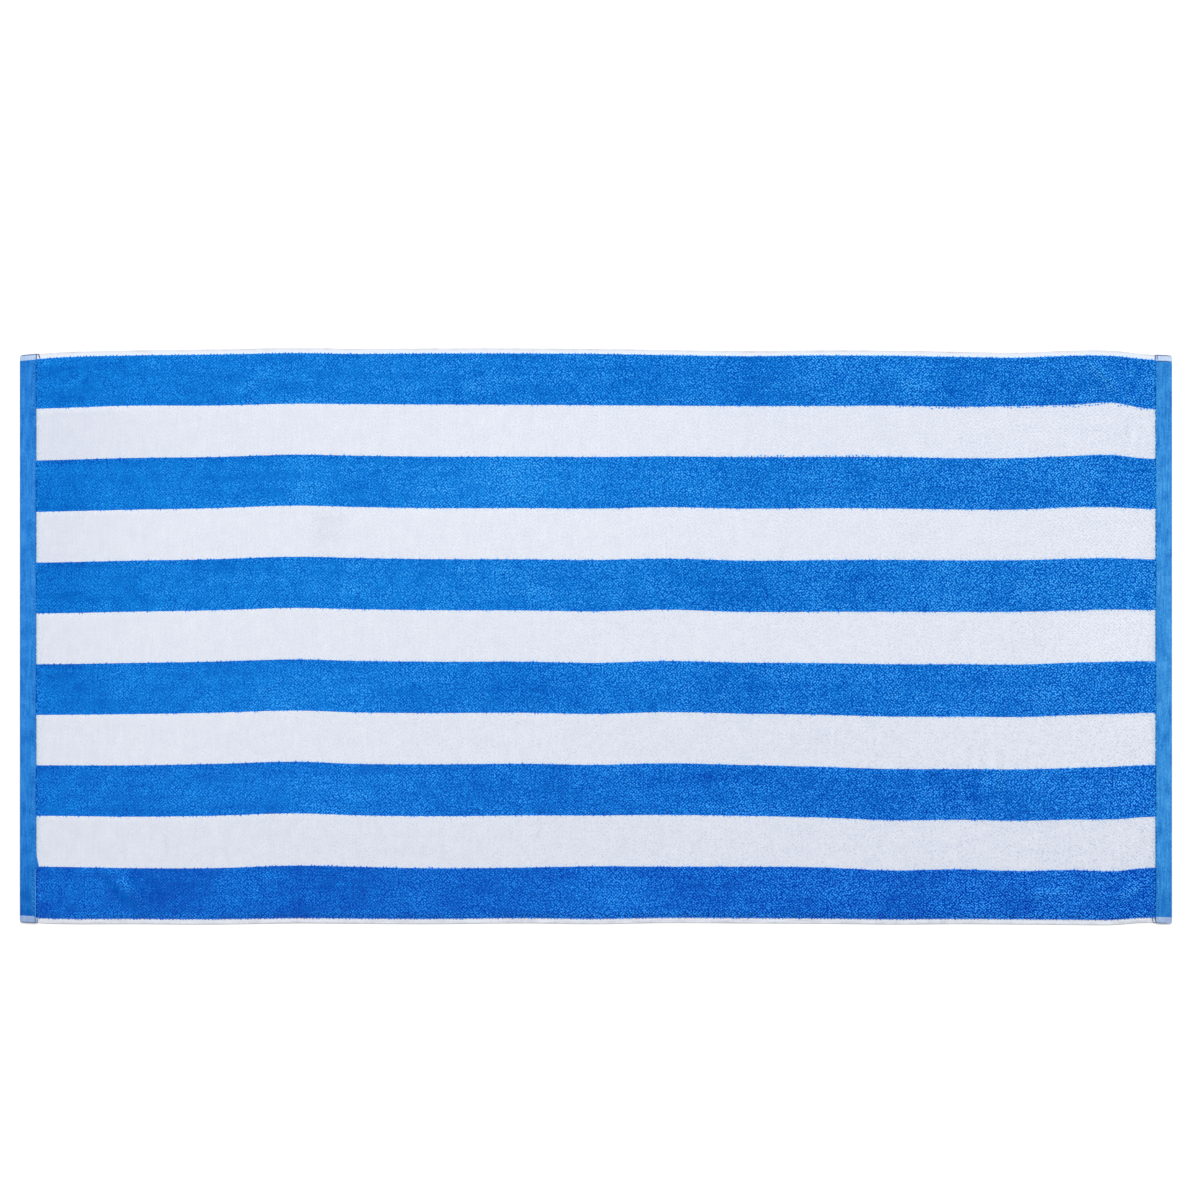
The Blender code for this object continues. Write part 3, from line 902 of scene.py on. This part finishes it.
def hem_points(side, out, across, height):
    """The laid hem: puckered along its seam, pressed at its two ends and round at its corners."""
    is_top = height > STACK - TOP_LAYER
    seam = np.exp(-((out - SEAM_FROM_FOLD) / PUCKER_WIDTH) ** 2)
    wave = 0.5 + 0.5 * np.cos(2 * pi * across / STITCH_PITCH)
    height = height - np.where(is_top, PUCKER_DEPTH * seam * (0.5 + wave), 0)
    slip = fold_reach(side, across) * np.clip(1 - 2 * out / HEM_WIDTH, 0, 1)
    rounded = out * (1 - corner_cut(across) / HEM_WIDTH)
    return laid(side * (half_pile + rounded - slip), across, height * hem_rise(across))


print("a hem is", round(STACK / MM, 2), "mm high")

# %% Hem pieces
HEM_ROW_STEP = 3.1 * MM
CORNER_ROWS = (0.5 * MM, 1.2 * MM)
# The hem's rounded outer end is painted deeper over RIM_WIDTH: painted shade.
RIM_WIDTH = 1.5 * MM
RIM_PAINTED_SHADE = 0.35
HEM_SHADE = (
    # across (m), how much paler the weave is there: left hem, right hem
    (-0.370, -0.42, -0.34),
    (-0.340, -0.34, -0.26),
    (-0.300, -0.12, -0.10),
    (-0.200, 0.01, -0.05),
    (0.200, 0.05, -0.05),
    (0.290, 0.00, -0.12),
    (0.370, -0.10, -0.20),
)
TURNED_SELVEDGES = {
    # side, edge: how wide the turned selvedge shows, how much paler it is
    (-1, -1): (9.2 * MM, -0.50),
    (-1, 1): (7.6 * MM, 0.0),
    (1, -1): (8.6 * MM, -0.25),
    (1, 1): (8.0 * MM, 0.35),
}
TURNED_EDGE = 0.4 * MM


def hem_rows(side):
    """Places across the hem: even steps, and more at its corners and turned selvedges."""
    half = TOWEL_WIDTH / 2
    places = list(np.linspace(-half, half, round(2 * half / HEM_ROW_STEP) + 1))
    for edge in (-1, 1):
        width = TURNED_SELVEDGES[side, edge][0]
        places += [edge * (half - inset) for inset in (*CORNER_ROWS, width, width - TURNED_EDGE)]
    return np.sort(places)


def hem_faces(side, row_count, count):
    """Faces round the section and from row to row. The left hem's run the other way round."""
    index = np.arange(row_count * count).reshape(row_count, count)
    around = np.roll(index, -1, axis=1)
    faces = np.stack([index[:-1], around[:-1], around[1:], index[1:]], axis=-1).reshape(-1, 4)
    return faces[:, ::side]


def hem_piece(name, side, finish):
    """One hem. side is -1 for the left end and 1 for the right."""
    row_places = hem_rows(side)
    out, height = (np.tile(part, len(row_places)) for part in outline.T)
    across = np.repeat(row_places, len(outline))
    faces = hem_faces(side, len(row_places), len(outline))
    places, left_shade, right_shade = zip(*HEM_SHADE)
    shade = np.interp(across, places, left_shade if side < 0 else right_shade)
    turned_selvedge = np.zeros(len(faces), dtype=int)
    for edge in (-1, 1):
        width, paler = TURNED_SELVEDGES[side, edge]
        inset = TOWEL_WIDTH / 2 - edge * across
        turned_selvedge[inset[faces].mean(axis=1) < width] = 1
        shade = np.where(inset < width - TURNED_EDGE / 2, paler, shade)
    # Painted shade on the hem's rounded outer end.
    shade = shade - RIM_PAINTED_SHADE * np.clip((out - HEM_WIDTH + RIM_WIDTH) / RIM_WIDTH, 0, 1)
    points = hem_points(side, out, across, height)
    make_piece(name, points, faces, [finish, folded_weave], turned_selvedge, {"shade": shade})


hem_piece("left_hem", -1, left_weave)
hem_piece("right_hem", 1, right_weave)

# %% [markdown]
# ## The sewing
#
# The left hem shows a row of slanting stitches along its inner fold. The right hem shows a fainter
# row further out, and along its fold the needle holes, as short dark threads that paint the shade in
# the holes; a few such threads lie along the left hem's fold too. A thicker thread runs beside the
# near end of the left hem, and all four corners are oversewn with a darker thread. One dark corner
# thread, at the left hem's far corner, lies along the fold and paints the shadow line of that fold.
# Painted lines would look flat from the side, so each stitch is a short length of thread: a tube
# with tapered ends that follows a few points. All threads of one kind are joined into one mesh.

# %% A helper for threads
THREAD_SIDES = 6
END_GIRTH = 0.55
TIP_REACH = 0.15


def thread_piece(name, runs, radius, finish):
    """Lengths of thread as one piece. runs holds, for each, its points as (along, across, height)."""
    runs = np.asarray(runs)
    count, steps = runs.shape[:2]
    runs = laid(*runs.reshape(-1, 3).T).reshape(count, steps, 3)
    heading = np.gradient(runs, axis=1)
    side = np.stack([-heading[..., 1], heading[..., 0], np.zeros((count, steps))], axis=-1)
    side /= np.linalg.norm(side, axis=-1, keepdims=True)
    girth = np.full(steps, radius)
    girth[[0, -1]] = radius * END_GIRTH
    angle = np.arange(THREAD_SIDES) * 2 * pi / THREAD_SIDES
    around = side[:, :, None] * np.cos(angle)[:, None]
    around = around + np.array([0.0, 0.0, 1.0]) * np.sin(angle)[:, None]
    rings = runs[:, :, None] + around * girth[:, None, None]
    tips = runs[:, [0, -1]] - heading[:, [0, -1]] * np.array([1, -1])[:, None] * TIP_REACH
    points = np.concatenate([rings.reshape(-1, 3), tips.reshape(-1, 3)])
    ring = np.arange(count * steps * THREAD_SIDES).reshape(count, steps, THREAD_SIDES)
    after = np.roll(ring, -1, axis=2)
    walls = np.stack([ring[:, :-1], after[:, :-1], after[:, 1:], ring[:, 1:]], axis=-1).reshape(-1, 4)
    tip = ring.size + np.arange(2 * count).reshape(count, 2, 1)
    tip = np.broadcast_to(tip, (count, 2, THREAD_SIDES))
    start = np.stack([tip[:, 0], after[:, 0], ring[:, 0]], axis=-1).reshape(-1, 3)
    end = np.stack([tip[:, 1], ring[:, -1], after[:, -1]], axis=-1).reshape(-1, 3)
    make_piece(name, points, walls.tolist() + start.tolist() + end.tolist(), [finish])


# %% Hem stitches
# Each run's rows: distance out from the fold (mm), step across (mm), height over the hem (mm).
STITCH_RUN = (
    (0.5, -1.3, -0.35),
    (1.3, -0.9, 0.02),
    (2.9, 0.1, 0.12),
    (4.3, 0.9, 0.02),
    (5.0, 1.3, -0.35),
)
HOLE_RUN = (
    (0.3, -1.7, 0.02),
    (0.2, -0.6, 0.10),
    (0.2, 0.6, 0.10),
    (0.3, 1.7, 0.02),
)
OUTER_ROW_RUN = (
    (9.0, -1.2, -0.30),
    (10.2, -0.5, 0.0),
    (11.4, 0.3, 0.0),
    (12.6, 1.2, -0.30),
)
STITCH_STRAY = 0.35 * MM


def stitch_row(run, side, pitch, seed, skip):
    """Stitches of this run all along a hem, each a little astray, with this share skipped."""
    chance = np.random.default_rng(seed)
    across = np.arange(-half_stripes + pitch / 2, half_stripes, pitch)
    across = across[chance.uniform(0, 1, len(across)) >= skip]
    out, step, height = np.array(run).T * MM
    stray = chance.normal(0, STITCH_STRAY, (2, len(across), 1))
    along = side * (half_pile + out + stray[0])
    across = across[:, None] + step + stray[1]
    return np.stack([along, across, np.broadcast_to(STACK + height, across.shape)], axis=-1)


STITCH_ROWS = (
    # piece, run, side, pitch, seed, share skipped, radius, finish
    ("left_hem_stitches", STITCH_RUN, -1, STITCH_PITCH, 21, 0.0, 0.42 * MM, stitch_thread),
    ("right_hem_stitches", OUTER_ROW_RUN, 1, 7.3 * MM, 22, 0.15, 0.378 * MM, right_weave),
    # The needle-hole rows are dark threads that paint the shade in the holes.
    ("right_hem_hole_shade", HOLE_RUN, 1, STITCH_PITCH, 23, 0.2, 0.42 * MM, hole_shade_thread),
    ("left_hem_hole_shade", HOLE_RUN, -1, STITCH_PITCH, 24, 0.9, 0.336 * MM, hole_shade_thread),
)
for name, run, side, pitch, seed, skip, radius, finish in STITCH_ROWS:
    thread_piece(name, stitch_row(run, side, pitch, seed, skip), radius, finish)

# %% The thicker thread beside the left hem
SEAM_START = -0.371
SEAM_END = -0.309
SEAM_STEPS = 40
SEAM_OUT = 0.7 * MM
SEAM_WAVE = 0.25 * MM
SEAM_LIFT = 0.1 * MM
SEAM_RADIUS = 0.588 * MM


def hem_seam():
    """One thread that runs beside the fold and waves a little from stitch to stitch."""
    across = np.linspace(SEAM_START, SEAM_END, SEAM_STEPS)
    out = SEAM_OUT + SEAM_WAVE * np.sin(across * 2 * pi / STITCH_PITCH)
    height = STACK * hem_rise(across) + SEAM_LIFT
    return [np.column_stack([-half_pile - out, across, height])]


thread_piece("left_hem_seam", hem_seam(), SEAM_RADIUS, stitch_thread)

# %% Corner threads
CORNER_RADIUS = 0.48 * MM
CORNER_THREADS = (
    # side, edge, then three points as (distance out from the pile, distance in from the edge), mm
    (-1, 1, (19.5, 0.3), (9.0, 0.3), (-3.0, 0.3)),
    # This thread paints the shadow line along the left hem's fold at its far corner.
    (-1, 1, (-0.3, 0.3), (-0.2, 3.5), (-0.2, 7.2)),
    (-1, 1, (-2.6, 0.2), (-3.6, 3.4), (-4.6, 6.6)),
    (-1, 1, (-3.1, 0.2), (-4.1, 3.4), (-5.1, 6.6)),
    (1, 1, (-0.6, 0.3), (-0.6, 3.5), (-0.6, 7.0)),
    (1, 1, (1.9, 0.3), (1.9, 3.3), (1.8, 6.4)),
    (1, 1, (-0.6, 0.2), (8.0, 0.3), (20.0, 0.5)),
    (1, 1, (1.5, 8.2), (9.0, 8.2), (18.0, 8.0)),
    (-1, -1, (19.6, 0.4), (10.0, 0.3), (-1.5, 0.3)),
    (-1, -1, (1.3, 0.3), (1.3, 3.6), (1.2, 7.0)),
    (-1, -1, (-1.3, 0.3), (-1.7, 3.4), (-2.3, 6.6)),
    (1, -1, (-4.2, 7.8), (-3.8, 4.0), (-2.6, 0.3)),
    (1, -1, (-0.7, 7.8), (-0.1, 4.0), (1.4, 0.5)),
    (1, -1, (-2.6, 0.3), (6.0, 0.4), (15.0, 0.6)),
)
CORNER_STEPS = 6
SELVEDGE_TOP = 0.75 * MM
TUCK_RUN = 1.2 * MM


def corner_runs():
    """The corner threads as runs of points, over the hem and down onto the selvedge beside it."""
    runs = []
    for side, edge, *points in CORNER_THREADS:
        out, inset = curve_through(*np.array(points) * MM, CORNER_STEPS).T
        across = edge * (TOWEL_WIDTH / 2 - np.maximum(inset, CORNER_RADIUS))
        hem_top = STACK * hem_rise(across)
        top = SELVEDGE_TOP + (hem_top - SELVEDGE_TOP) * np.clip(out / TUCK_RUN, 0, 1)
        runs.append(np.column_stack([side * (half_pile + out), across, top]))
    return runs


thread_piece("corner_threads", corner_runs(), CORNER_RADIUS, dark_thread)

# %% [markdown]
# ## The loops
#
# A loop of terry rises from the ground, tips over and lies on its neighbours, so from above it looks
# like a short fat grain. Hair particles could stand for it, but hair is thin and the export can't
# carry it. Each loop here is a small arched ridge: two pointed feet and, between them, two cross
# sections of a crest and two sides. That makes eight triangles, little enough to give a blue stripe
# about eleven thousand loops. White yarn hides its own shadows, so its loops are fewer and lower.

# %% One loop's shape
LOOP_SECTIONS = (
    # share of length, half width as a share of width, share of height
    (-0.50, 0.00, 0.05),
    (-0.18, 0.48, 1.00),
    (0.18, 0.48, 1.00),
    (0.50, 0.00, 0.05),
)
SIDE_RISE = 0.2
FOOT_CREST = 0.1


def one_loop():
    """Points of one loop as rows of (length, width, height, crest), and its triangles."""
    foot, *middles, far_foot = LOOP_SECTIONS
    points = [(foot[0], 0.0, foot[2], FOOT_CREST)]
    for place, half_width, rise in middles:
        points.append((place, -half_width, SIDE_RISE * rise, 0.0))
        points.append((place, 0.0, rise, rise))
        points.append((place, half_width, SIDE_RISE * rise, 0.0))
    points.append((far_foot[0], 0.0, far_foot[2], FOOT_CREST))
    last = len(points) - 1
    faces = [(0, 1, 2), (0, 2, 3), (last, last - 1, last - 2), (last, last - 2, last - 3)]
    for first in range(1, last - 3, 3):
        for a, b in ((first, first + 1), (first + 1, first + 2)):
            faces += [(a, a + 3, b + 3), (a, b + 3, b)]
    return np.array(points), np.array(faces)


loop_points, loop_faces = one_loop()
print("a loop has", len(loop_faces), "triangles")

# %% [markdown]
# ## How the loops lie
#
# Loops stand in rows, each row set off by half a step against the next, as the loom makes them. They
# could all lean one way, but washed pile doesn't: in some patches most lean over one diagonal, and in
# others over the other. From above, loops that lean the same way link up into short slanting lines,
# which is the grain that terry shows from a distance. At this towel's left end the pile lies flat and
# close, and towards its right end it stands more open, so loops rise higher there and show more
# grain. They are also painted paler towards the right end and deeper at the left end, partly as
# painted shade. A stripe's border could be a straight line of loops. On a real one each loop
# strays a little, small clumps stray together, and in a few ragged runs tufts reach well over.

# %% Sizes of the pile
LOOP_PITCH = {"blue": 2.15 * MM, "white": 2.6 * MM}
LOOP_RISE = {"blue": 1.0, "white": 0.5}
LOOP_REACH = {"blue": 0.4 * MM, "white": -0.4 * MM}
# Shares of the pitch.
LOOP_LENGTH = (1.35, 1.95)
LOOP_WIDTH = (0.80, 1.10)
LOOP_BEND = 0.25
LOOP_STRAY = 0.42
# How the pile changes from its left end to its right end.
RISE_AT_ENDS = {"blue": (0.60, 1.22), "white": (0.60, 1.30)}
GRAIN_AT_ENDS = {"blue": (0.55, 1.45), "white": (0.55, 1.50)}
# SHADE_AT_ENDS paints the pile deeper at the left end and paler at the right end, partly as painted
# shade.
SHADE_AT_ENDS = {"blue": (-0.125, 0.09), "white": (0.0, 0.02)}
END_REACH = {"blue": 0.9 * MM, "white": -0.5 * MM}
END_STRAY = 0.7 * MM
FREE_EDGE_STRAY = 0.3 * MM
BORDER_STRAY = 0.85 * MM
CLUMP_STEP = 5 * MM
CLUMP_STRAY = 0.45 * MM
RAGGED_ROWS = 2
RAGGED_BORDERS = (
    # stripe, row, middle along, half length (m), how far its loops reach over
    (10, "near", 0.640, 0.115, 4.6 * MM),
    (10, "near", 0.440, 0.090, 2.2 * MM),
    (8, "far", 0.290, 0.140, 2.4 * MM),
    (0, "far", 0.650, 0.120, 1.5 * MM),
    (0, "far", -0.280, 0.160, 1.2 * MM),
)
# How deep the loops stand in the ground, how much lower some are, and their least share of height.
LOOP_SINK = 0.25 * MM
HEIGHT_SWING = 0.22 * MM
LEAST_RISE = 0.35
# How the loops lean, and how far the patches that lean alike reach.
LIE_ANGLE = radians(45)
LIE_SPREAD = radians(28)
LIE_PATCH = 24 * MM
LIE_CHANCE = 0.7
LIE_BIAS = 0.1
SEED = 11
print("blue loops stand about", round(LOOP_PITCH["blue"] / MM, 2), "mm apart")

# %% [markdown]
# ## Where the pile looks paler or deeper
#
# A crease opens the pile or closes it, so the crests of ridges look paler and the bottoms of troughs
# deeper, more than their slopes alone would make them. Light could be left to do this by itself, but
# it is soft and the creases are low, so ridges get a painted highlight and troughs painted shade. So
# each loop gets its shade from the place where it stands: the stroked patch, the crease, the stripe's
# border, where loops get a painted highlight, and the selvedge, beside which loops stand in painted
# shade. Near a border each colour is also tinted by the light that the other colour throws on it,
# painted into its colour.

# %% Shade of the pile
# Painted highlight on ridges and painted shade in troughs, for each metre of a crease's height.
RIDGE_SHADE = 0.19 / (1.7 * MM)
TROUGH_SHADE = 0.20 / (0.8 * MM)
# Painted shade on loops beside the selvedge.
EDGE_SHADE = 0.26
# Painted highlight: loops along a stripe's border are painted paler.
BORDER_PAINTED_HIGHLIGHT = {"blue": 0.05, "white": 0.25}
# Painted light: how far each colour takes the light that the other colour throws on it, and how
# strongly on blue.
TINT_WIDTH = {"blue": 4 * MM, "white": 6 * MM}
HEM_TINT_REACH = 1 * MM
BLUE_BORDER_TINT = 0.35


def beside(distance, width):
    """1 at a border, falling to 0 at this distance from it."""
    return np.clip(1 - distance / width, 0, 1)


def pile_shade(along, across, border_distance, colour):
    """How much paler the pile looks at each place than its colour alone."""
    y = drifted(along, across)
    creases = RIDGE_SHADE * creases_at(along, y, RIDGES) - TROUGH_SHADE * creases_at(along, y, TROUGHS)
    border = BORDER_PAINTED_HIGHLIGHT[colour] * beside(border_distance, LOOP_PITCH[colour])
    edge = EDGE_SHADE * (1 - selvedge_share(across))
    return nap_shade(along, y, colour) + creases + border - edge


def loop_looks(number, colour, along, across):
    """The shade, grain and tint of each loop of a stripe."""
    paler, shade_tint, grain = STRIPE_LOOKS[number]
    low_across = -half_stripes + number * STRIPE_WIDTH
    border_distance = np.minimum(across - low_across, low_across + STRIPE_WIDTH - across)
    shade = paler + pile_shade(along, across, border_distance, colour)
    shade = shade + left_to_right(along, SHADE_AT_ENDS[colour])
    grain = grain * left_to_right(along, GRAIN_AT_ENDS[colour])
    if colour == "white":
        # White loops take painted blue light near blue borders and near the hems.
        hem_distance = half_pile - np.abs(along) - HEM_TINT_REACH
        return shade, grain, beside(np.minimum(border_distance, hem_distance), TINT_WIDTH[colour]) ** 2
    # Blue loops: a painted shade tint on the nearer stripes, and painted light from the white pile
    # near borders.
    return shade, grain, shade_tint + BLUE_BORDER_TINT * beside(border_distance, TINT_WIDTH[colour]) ** 2


# %% How loops are spread
FIELD_WAVES = 6
FIELD_LENGTHS = (1.2, 2.6)


def slow_field(chance, along, across, patch):
    """A smooth random value, about -1 to 1, that changes over patches of this size."""
    value = np.zeros(len(along))
    for _ in range(FIELD_WAVES):
        direction = chance.uniform(0, 2 * pi)
        length = patch * chance.uniform(*FIELD_LENGTHS)
        phase = chance.uniform(0, 2 * pi)
        value += np.sin((along * cos(direction) + across * sin(direction)) * 2 * pi / length + phase)
    return value / np.sqrt(FIELD_WAVES)


def border_stray(chance, number, row, row_count, along):
    """How far a stripe's border rows lie out of line: each loop a little, and small clumps of loops
    together. In its ragged runs the loops reach over the border."""
    rows_in = {"near": row, "far": row_count - 1 - row}
    free_edges = (number == 0, number == STRIPE_COUNT - 1)
    draw = chance.uniform(-1, 1, len(row))
    stations = np.arange(-half_pile - CLUMP_STEP, half_pile + 2 * CLUMP_STEP, CLUMP_STEP)
    stray = np.zeros(len(row))
    for inward, free in zip(rows_in.values(), free_edges):
        clump = np.interp(along, stations, chance.uniform(-1, 1, len(stations))) * CLUMP_STRAY
        stray += (inward == 0) * (draw * FREE_EDGE_STRAY if free else draw * BORDER_STRAY + clump)
    for stripe, end, middle, half_length, reach in RAGGED_BORDERS:
        if stripe == number:
            # Full reach in the middle half of the run, then less and less to its ends.
            run = np.clip(2 - 2 * np.abs(along - middle) / half_length, 0, 1)
            tuft = np.interp(along, stations, chance.uniform(0, 1, len(stations)))
            outward = {"near": -1, "far": 1}[end]
            stray += np.clip(1 - rows_in[end] / RAGGED_ROWS, 0, 1) * run * outward * reach * tuft
    return stray


def loop_places(chance, number, colour):
    """Places of the loops of one stripe as (along, across), in rows that are set off in turn."""
    pitch, reach, end_reach = LOOP_PITCH[colour], LOOP_REACH[colour], END_REACH[colour]
    count, row_count = round(PILE_LENGTH / (2 * pitch)), round(STRIPE_WIDTH / pitch)
    rows_width = STRIPE_WIDTH + 2 * reach
    step, row = (grid.ravel() for grid in np.meshgrid(np.arange(count), np.arange(row_count)))
    step = step + 0.25 + 0.5 * (row % 2) + chance.uniform(-LOOP_STRAY, LOOP_STRAY, len(step)) / 2
    along = step / count * (PILE_LENGTH + 2 * end_reach) - half_pile - end_reach
    at_end = (step < 1) | (step > count - 1)
    along = along + at_end * chance.uniform(-END_STRAY, END_STRAY, len(step))
    stray = border_stray(chance, number, row, row_count, along)
    inner = (row > 0) & (row < row_count - 1)
    row = row + 0.5 + chance.uniform(-LOOP_STRAY, LOOP_STRAY, len(row)) * inner
    across = number * STRIPE_WIDTH - half_stripes - reach + row / row_count * rows_width + stray
    bare = half_pile + along < fold_reach(-1, across)
    return along[~bare], across[~bare]


def loop_angles(chance, along, across):
    """Loops lean over one diagonal of the weave or the other, in patches."""
    patches = slow_field(np.random.default_rng(SEED), along, across, LIE_PATCH)
    side = np.where(patches + LIE_CHANCE * chance.normal(0, 1, len(along)) > LIE_BIAS, 1, -1)
    return side * LIE_ANGLE + chance.normal(0, LIE_SPREAD, len(along))


# %% Loops of a stripe
def loop_outlines(chance, along, across, colour):
    """Where each loop's points are along and across, one loop after another."""
    count, pitch = len(along), LOOP_PITCH[colour]
    angle = loop_angles(chance, along, across)
    length = pitch * chance.uniform(*LOOP_LENGTH, count)
    width = pitch * chance.uniform(*LOOP_WIDTH, count)
    bend = pitch * chance.uniform(-LOOP_BEND, LOOP_BEND, count)
    u = loop_points[:, 0] * length[:, None]
    v = loop_points[:, 1] * width[:, None] + bend[:, None] * (1 - (2 * loop_points[:, 0]) ** 2)
    turn_cos, turn_sin = np.cos(angle)[:, None], np.sin(angle)[:, None]
    along = along[:, None] + u * turn_cos - v * turn_sin
    across = across[:, None] + u * turn_sin + v * turn_cos
    return along.ravel(), across.ravel()


def loop_heights(share, lift, point_along, point_across, colour):
    """Heights of the loops' points. share is that of the pile's full height where a loop stands."""
    share, lift = (np.repeat(value, len(loop_points)) for value in (share, lift))
    foot = WEAVE_THICKNESS + (GROUND_THICKNESS - LOOP_SINK - WEAVE_THICKNESS) * share
    rise = (PILE_THICKNESS - GROUND_THICKNESS + LOOP_SINK) * share.clip(LEAST_RISE, 1)
    rise = (rise + lift * share) * LOOP_RISE[colour]
    rise = rise * left_to_right(point_along, RISE_AT_ENDS[colour])
    crest = np.tile(loop_points[:, 2], len(share) // len(loop_points))
    return foot + rise * crest - pressed(point_along, point_across) * share


def stripe_loops(number, colour, finish):
    """All loops of one stripe. Stripes are counted from the near edge."""
    chance = np.random.default_rng(SEED + number)
    along, across = loop_places(chance, number, colour)
    count = len(along)
    point_along, point_across = loop_outlines(chance, along, across, colour)
    tone = np.clip(chance.normal(0, 0.5, count), -1, 1)
    lift = chance.uniform(-HEIGHT_SWING, 0, count)
    height = loop_heights(pile_share(along, across), lift, point_along, point_across, colour)
    faces = loop_faces[None] + np.arange(count)[:, None, None] * len(loop_points)
    shade, grain, tint = loop_looks(number, colour, along, across)
    by_loop = {"tone": tone, "shade": shade, "grain": grain, "tint": tint}
    values = {key: np.repeat(numbers, len(loop_points)) for key, numbers in by_loop.items()}
    values["crest"] = np.tile(loop_points[:, 3], count)
    points = laid(point_along, point_across, height)
    name = f"{colour}_pile_{number // 2 + 1}"
    make_piece(name, points, faces.reshape(-1, 3), [finish], values=values)


for number in range(STRIPE_COUNT):
    stripe_loops(number, *(("blue", blue_pile), ("white", white_pile))[number % 2])

# %% [markdown]
# ## Floor, light and camera
#
# The towel lies on a plain pale floor. A large soft lamp stands beyond its far edge, as a window
# would, and a pale sky fills the shadows. Lamps all round would hide the creases and the grain. The
# camera looks straight down with a long lens, so the towel's edges stay straight.

# %% Floor
FLOOR_SIZE = 12
FLOOR_GAP = 0.2 * MM
FLOOR_ROUGHNESS = 0.9
FLOOR_PAINT = (0.95, 0.95, 0.95, 1)


def make_floor():
    """A pale painted floor, a hair's breadth under the towel."""
    bpy.ops.mesh.primitive_plane_add(size=FLOOR_SIZE, location=(0, 0, -FLOOR_GAP))
    floor = bpy.context.object
    floor.name = "floor"
    material, _, shader = start_finish("floor_paint", FLOOR_ROUGHNESS, sheen=0.0)
    shader.inputs["Base Color"].default_value = FLOOR_PAINT
    floor.data.materials.append(material)


make_floor()
print("the floor is", FLOOR_SIZE, "m wide")

# %% Light
KEY_PLACE = (0.1, 5.4, 5.6)
KEY_SIZE = (4.0, 2.4)
KEY_POWER = 440
SKY_STRENGTH = 0.74


def make_light():
    """A window lamp that faces the towel, and an even sky."""
    lamp = bpy.data.lights.new("window", "AREA")
    lamp.shape = "RECTANGLE"
    lamp.size, lamp.size_y = KEY_SIZE
    lamp.energy = KEY_POWER
    window = bpy.data.objects.new("window", lamp)
    window.location = KEY_PLACE
    window.rotation_mode = "QUATERNION"
    window.rotation_quaternion = Vector(KEY_PLACE).to_track_quat("Z", "Y")
    window.visible_camera = False
    bpy.context.scene.collection.objects.link(window)
    world = bpy.data.worlds.new("pale_room")
    world.use_nodes = True
    sky = world.node_tree.nodes["Background"]
    sky.inputs["Color"].default_value = (1, 1, 1, 1)
    sky.inputs["Strength"].default_value = SKY_STRENGTH
    bpy.context.scene.world = world


make_light()
bpy.context.scene.view_settings.view_transform = "Standard"
print("lamp:", KEY_POWER, "W, sky:", SKY_STRENGTH)

# %% Camera
# The picture's width on the pile, and how far its middle is from the towel's.
FRAME_WIDTH = 1.5868
AIM = (0.0054, 0.0488 + OUTLINE_SHIFT)
LENS = 85
SENSOR = 36


def make_camera():
    """A camera high enough for the picture to be FRAME_WIDTH wide on the pile."""
    lens = bpy.data.cameras.new("camera")
    lens.lens = LENS
    lens.sensor_width = SENSOR
    lens.clip_end = 100
    camera = bpy.data.objects.new("camera", lens)
    camera.location = (*AIM, PILE_THICKNESS + FRAME_WIDTH * LENS / SENSOR)
    bpy.context.scene.collection.objects.link(camera)
    bpy.context.scene.camera = camera
    print("the camera is", round(camera.location.z, 3), "m up")


make_camera()
